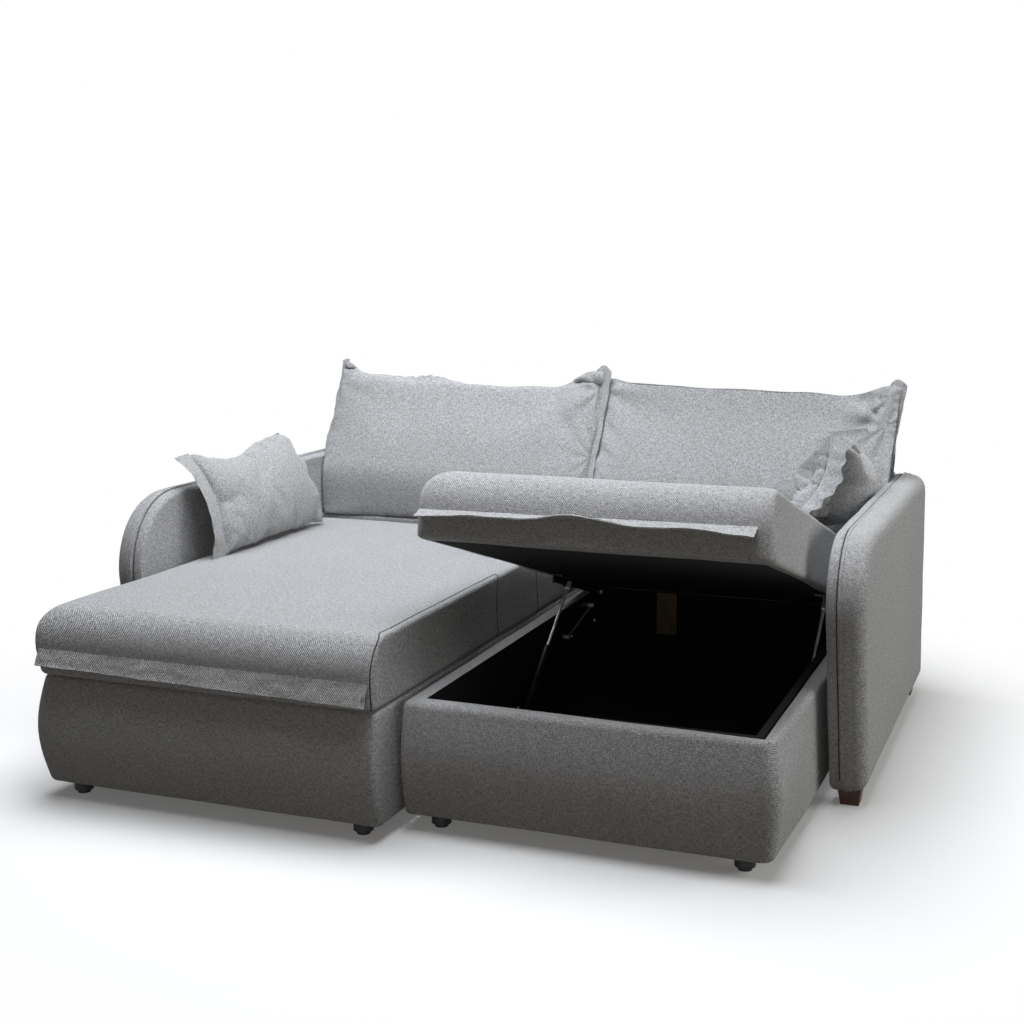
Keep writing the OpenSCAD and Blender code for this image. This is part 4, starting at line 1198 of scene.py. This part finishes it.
def screw_head(name):
    """A pan head that stands out along X."""
    turns = np.arange(16) * math.pi / 8
    return wrapped(name, [[(out, r * math.cos(t), r * math.sin(t)) for t in turns] for r, out in SCREW_HEAD])


class SOFA_OT_fittings(bpy.types.Operator):
    """Feet, glides, battens and the steel lift fittings with their screws"""
    bl_idname = "sofa.fittings"
    bl_label = "Feet and lift fittings"

    def execute(self, context):
        colours = context.scene.sofa_colours
        wood = stained_wood("stained_beech", colours.wood, (260.0, 260.0, 18.0))
        dark = stained_wood("dark_stained_batten", linear("#463723"), (220.0, 220.0, 14.0))
        board = stained_wood("sawn_softwood", linear("#8a6a42"), (10.0, 160.0, 160.0))
        ply = stained_wood("birch_plywood", linear("#b08a5c"), (160.0, 8.0, 160.0))
        for side in SIDES:
            paint(f"{side}_arm_feet", wood)
            paint(f"{side}_arm_panel", ply)
            paint(f"{side}_rear_batten", dark)
            paint(f"{side}_box_glides", moulded_plastic())
            for part in ("hinge_plates", "strut_feet", "strut_cylinders", "lid_arms"):
                paint(f"{side}_{part}", powder_coat())
            for part in ("hinge_pins", "strut_rods", "brace_rods"):
                paint(f"{side}_{part}", bright_plate())
            first = screw_head(f"{side}_fixing_screws")
            heads = []
            for x, way in ((PLATE_IN, SIGN[side]), (SEAT_W[side] - PLATE_IN, -SIGN[side])):
                for y, z in SCREWS:
                    only(first)
                    bpy.ops.object.duplicate()
                    heads.append(bpy.context.object)
                    turned = Matrix.Rotation(0 if way > 0 else math.pi, 4, "Z")
                    heads[-1].data.transform(Matrix.Translation(seat_place(side, (x, y, z))) @ turned)
            bpy.data.objects.remove(first)
            screws = joined(*heads)
            screws.name = screws.data.name = f"{side}_fixing_screws"
            dress(screws, bright_plate(), "frame", 40)
        paint("back_frame", board)
        paint("rear_deck_frame", lining_cloth())
        paint("rear_glides", moulded_plastic())
        return {"FINISHED"}


# Studio

def seen_by(tree):
    """One for rays that a viewer follows: straight, mirrored or through glass."""
    ray = add(tree, "ShaderNodeLightPath").outputs
    seen = add(tree, "ShaderNodeMath", {0: ray["Is Camera Ray"], 1: ray["Is Glossy Ray"]}, operation="MAXIMUM")
    return add(tree, "ShaderNodeMath", {0: seen, 1: ray["Is Transmission Ray"]}, operation="MAXIMUM")


def studio_floor():
    """Matt white floor: the viewer sees it take the shadow near the sofa and fade to plain white further off."""
    def surface(tree):
        seen = seen_by(tree)
        place = add(tree, "ShaderNodeTexCoord").outputs["Object"]
        away = add(tree, "ShaderNodeVectorMath", {0: place}, operation="LENGTH")
        far = add(tree, "ShaderNodeMapRange", {
            "Value": away, "From Min": 1.12, "From Max": 1.80}, interpolation_type="SMOOTHSTEP")
        near = add(tree, "ShaderNodeMath", {0: 1.0, 1: far}, operation="SUBTRACT")
        tone = add(tree, "ShaderNodeMix", {
            "Factor": near, "A": rgba((0, 0, 0)), "B": rgba(bpy.context.scene.sofa_colours.floor)}, data_type="RGBA")
        shown = add(tree, "ShaderNodeMix", {
            "Factor": seen, "A": rgba(linear("#5f5f5c")), "B": tone}, data_type="RGBA")
        power = add(tree, "ShaderNodeMapRange", {"Value": far, "To Min": 0.10, "To Max": 1.0})
        power = add(tree, "ShaderNodeMath", {0: power, 1: seen}, operation="MULTIPLY")
        matt = add(tree, "ShaderNodeBsdfDiffuse", {"Color": shown})
        glow = add(tree, "ShaderNodeEmission", {"Color": (1, 1, 1, 1), "Strength": power})
        return add(tree, "ShaderNodeAddShader", {0: matt, 1: glow})
    return built("matt_white_floor", surface)


# Lamps: place, aim, size, power and colour
LAMPS = {
    "overhead_softbox": ((-0.2, -0.2, 3.1), (0, 0.15, 0.3), (3.0, 2.2), 143, "#f7faff"),
    "right_softbox": ((3.6, 0.5, 1.35), (0, 0, 0.4), (1.8, 1.7), 47, "#fffefa"),
    "front_fill": ((1.2, -3.9, 1.0), (0.3, 0, 0.3), (1.6, 1.2), 10, "#ffefdc"),
}


class SOFA_OT_stage(bpy.types.Operator):
    """White floor that takes the sofa's shadow, soft lamps and the camera at the photograph's angle"""
    bl_idname = "sofa.stage"
    bl_label = "Studio"

    def execute(self, context):
        scene = context.scene
        bpy.ops.object.select_all(action="DESELECT")
        bpy.ops.mesh.primitive_plane_add(size=60, location=(0, 0, 0))
        floor = context.object
        floor.name = "studio_floor"
        floor.data.materials.append(studio_floor())

        world = bpy.data.worlds.new("studio_world")
        scene.world = world
        world.use_nodes = True
        tree = world.node_tree
        tree.nodes.clear()
        power = add(tree, "ShaderNodeMapRange", {"Value": seen_by(tree), "To Min": 0.062, "To Max": 1.0})
        sky = add(tree, "ShaderNodeBackground", {"Color": (1, 1, 1, 1), "Strength": power})
        add(tree, "ShaderNodeOutputWorld", {"Surface": sky})

        for name, (place, aim, size, power, colour) in LAMPS.items():
            data = bpy.data.lights.new(name, "AREA")
            data.shape = "RECTANGLE"
            data.size, data.size_y = size
            data.energy = power
            data.color = linear(colour)
            obj = bpy.data.objects.new(name, data)
            scene.collection.objects.link(obj)
            obj.location = place
            obj.rotation_euler = (Vector(aim) - Vector(place)).to_track_quat("-Z", "Y").to_euler()

        data = bpy.data.cameras.new("photo_camera")
        data.sensor_width = 36
        data.lens = 54.93
        data.shift_y = -0.0977
        camera = bpy.data.objects.new("photo_camera", data)
        scene.collection.objects.link(camera)
        camera.location = (1.413, -3.6588, 1.250)
        camera.rotation_euler = (math.radians(84.1), 0, math.radians(21.1))
        scene.camera = camera
        scene.view_settings.view_transform = "Standard"
        return {"FINISHED"}


STEPS = (SOFA_OT_arms, SOFA_OT_back, SOFA_OT_boxes, SOFA_OT_lids, SOFA_OT_pull_flanges,
         SOFA_OT_back_cushions, SOFA_OT_throw_pillows, SOFA_OT_fittings, SOFA_OT_stage)


class SOFA_PT_panel(bpy.types.Panel):
    """Lists the sofa's pieces"""
    bl_idname = "SOFA_PT_panel"
    bl_label = "Storage Sofa"
    bl_space_type = "VIEW_3D"
    bl_region_type = "UI"
    bl_category = "Storage Sofa"

    def draw(self, context):
        for group in (context.scene.sofa_sizes, context.scene.sofa_colours):
            box = self.layout.box()
            for key in group.__annotations__:
                box.prop(group, key)
        for step in STEPS:
            self.layout.operator(step.bl_idname)


CLASSES = (SofaSizes, SofaColours, *STEPS, SOFA_PT_panel)


def register():
    for c in CLASSES:
        bpy.utils.register_class(c)
    bpy.types.Scene.sofa_sizes = PointerProperty(type=SofaSizes)
    bpy.types.Scene.sofa_colours = PointerProperty(type=SofaColours)


def unregister():
    del bpy.types.Scene.sofa_colours
    del bpy.types.Scene.sofa_sizes
    for c in reversed(CLASSES):
        bpy.utils.unregister_class(c)


def main():
    register()
    for step in STEPS:
        group, name = step.bl_idname.split(".")
        getattr(getattr(bpy.ops, group), name)()
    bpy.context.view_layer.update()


if __name__ == "__main__":
    main()
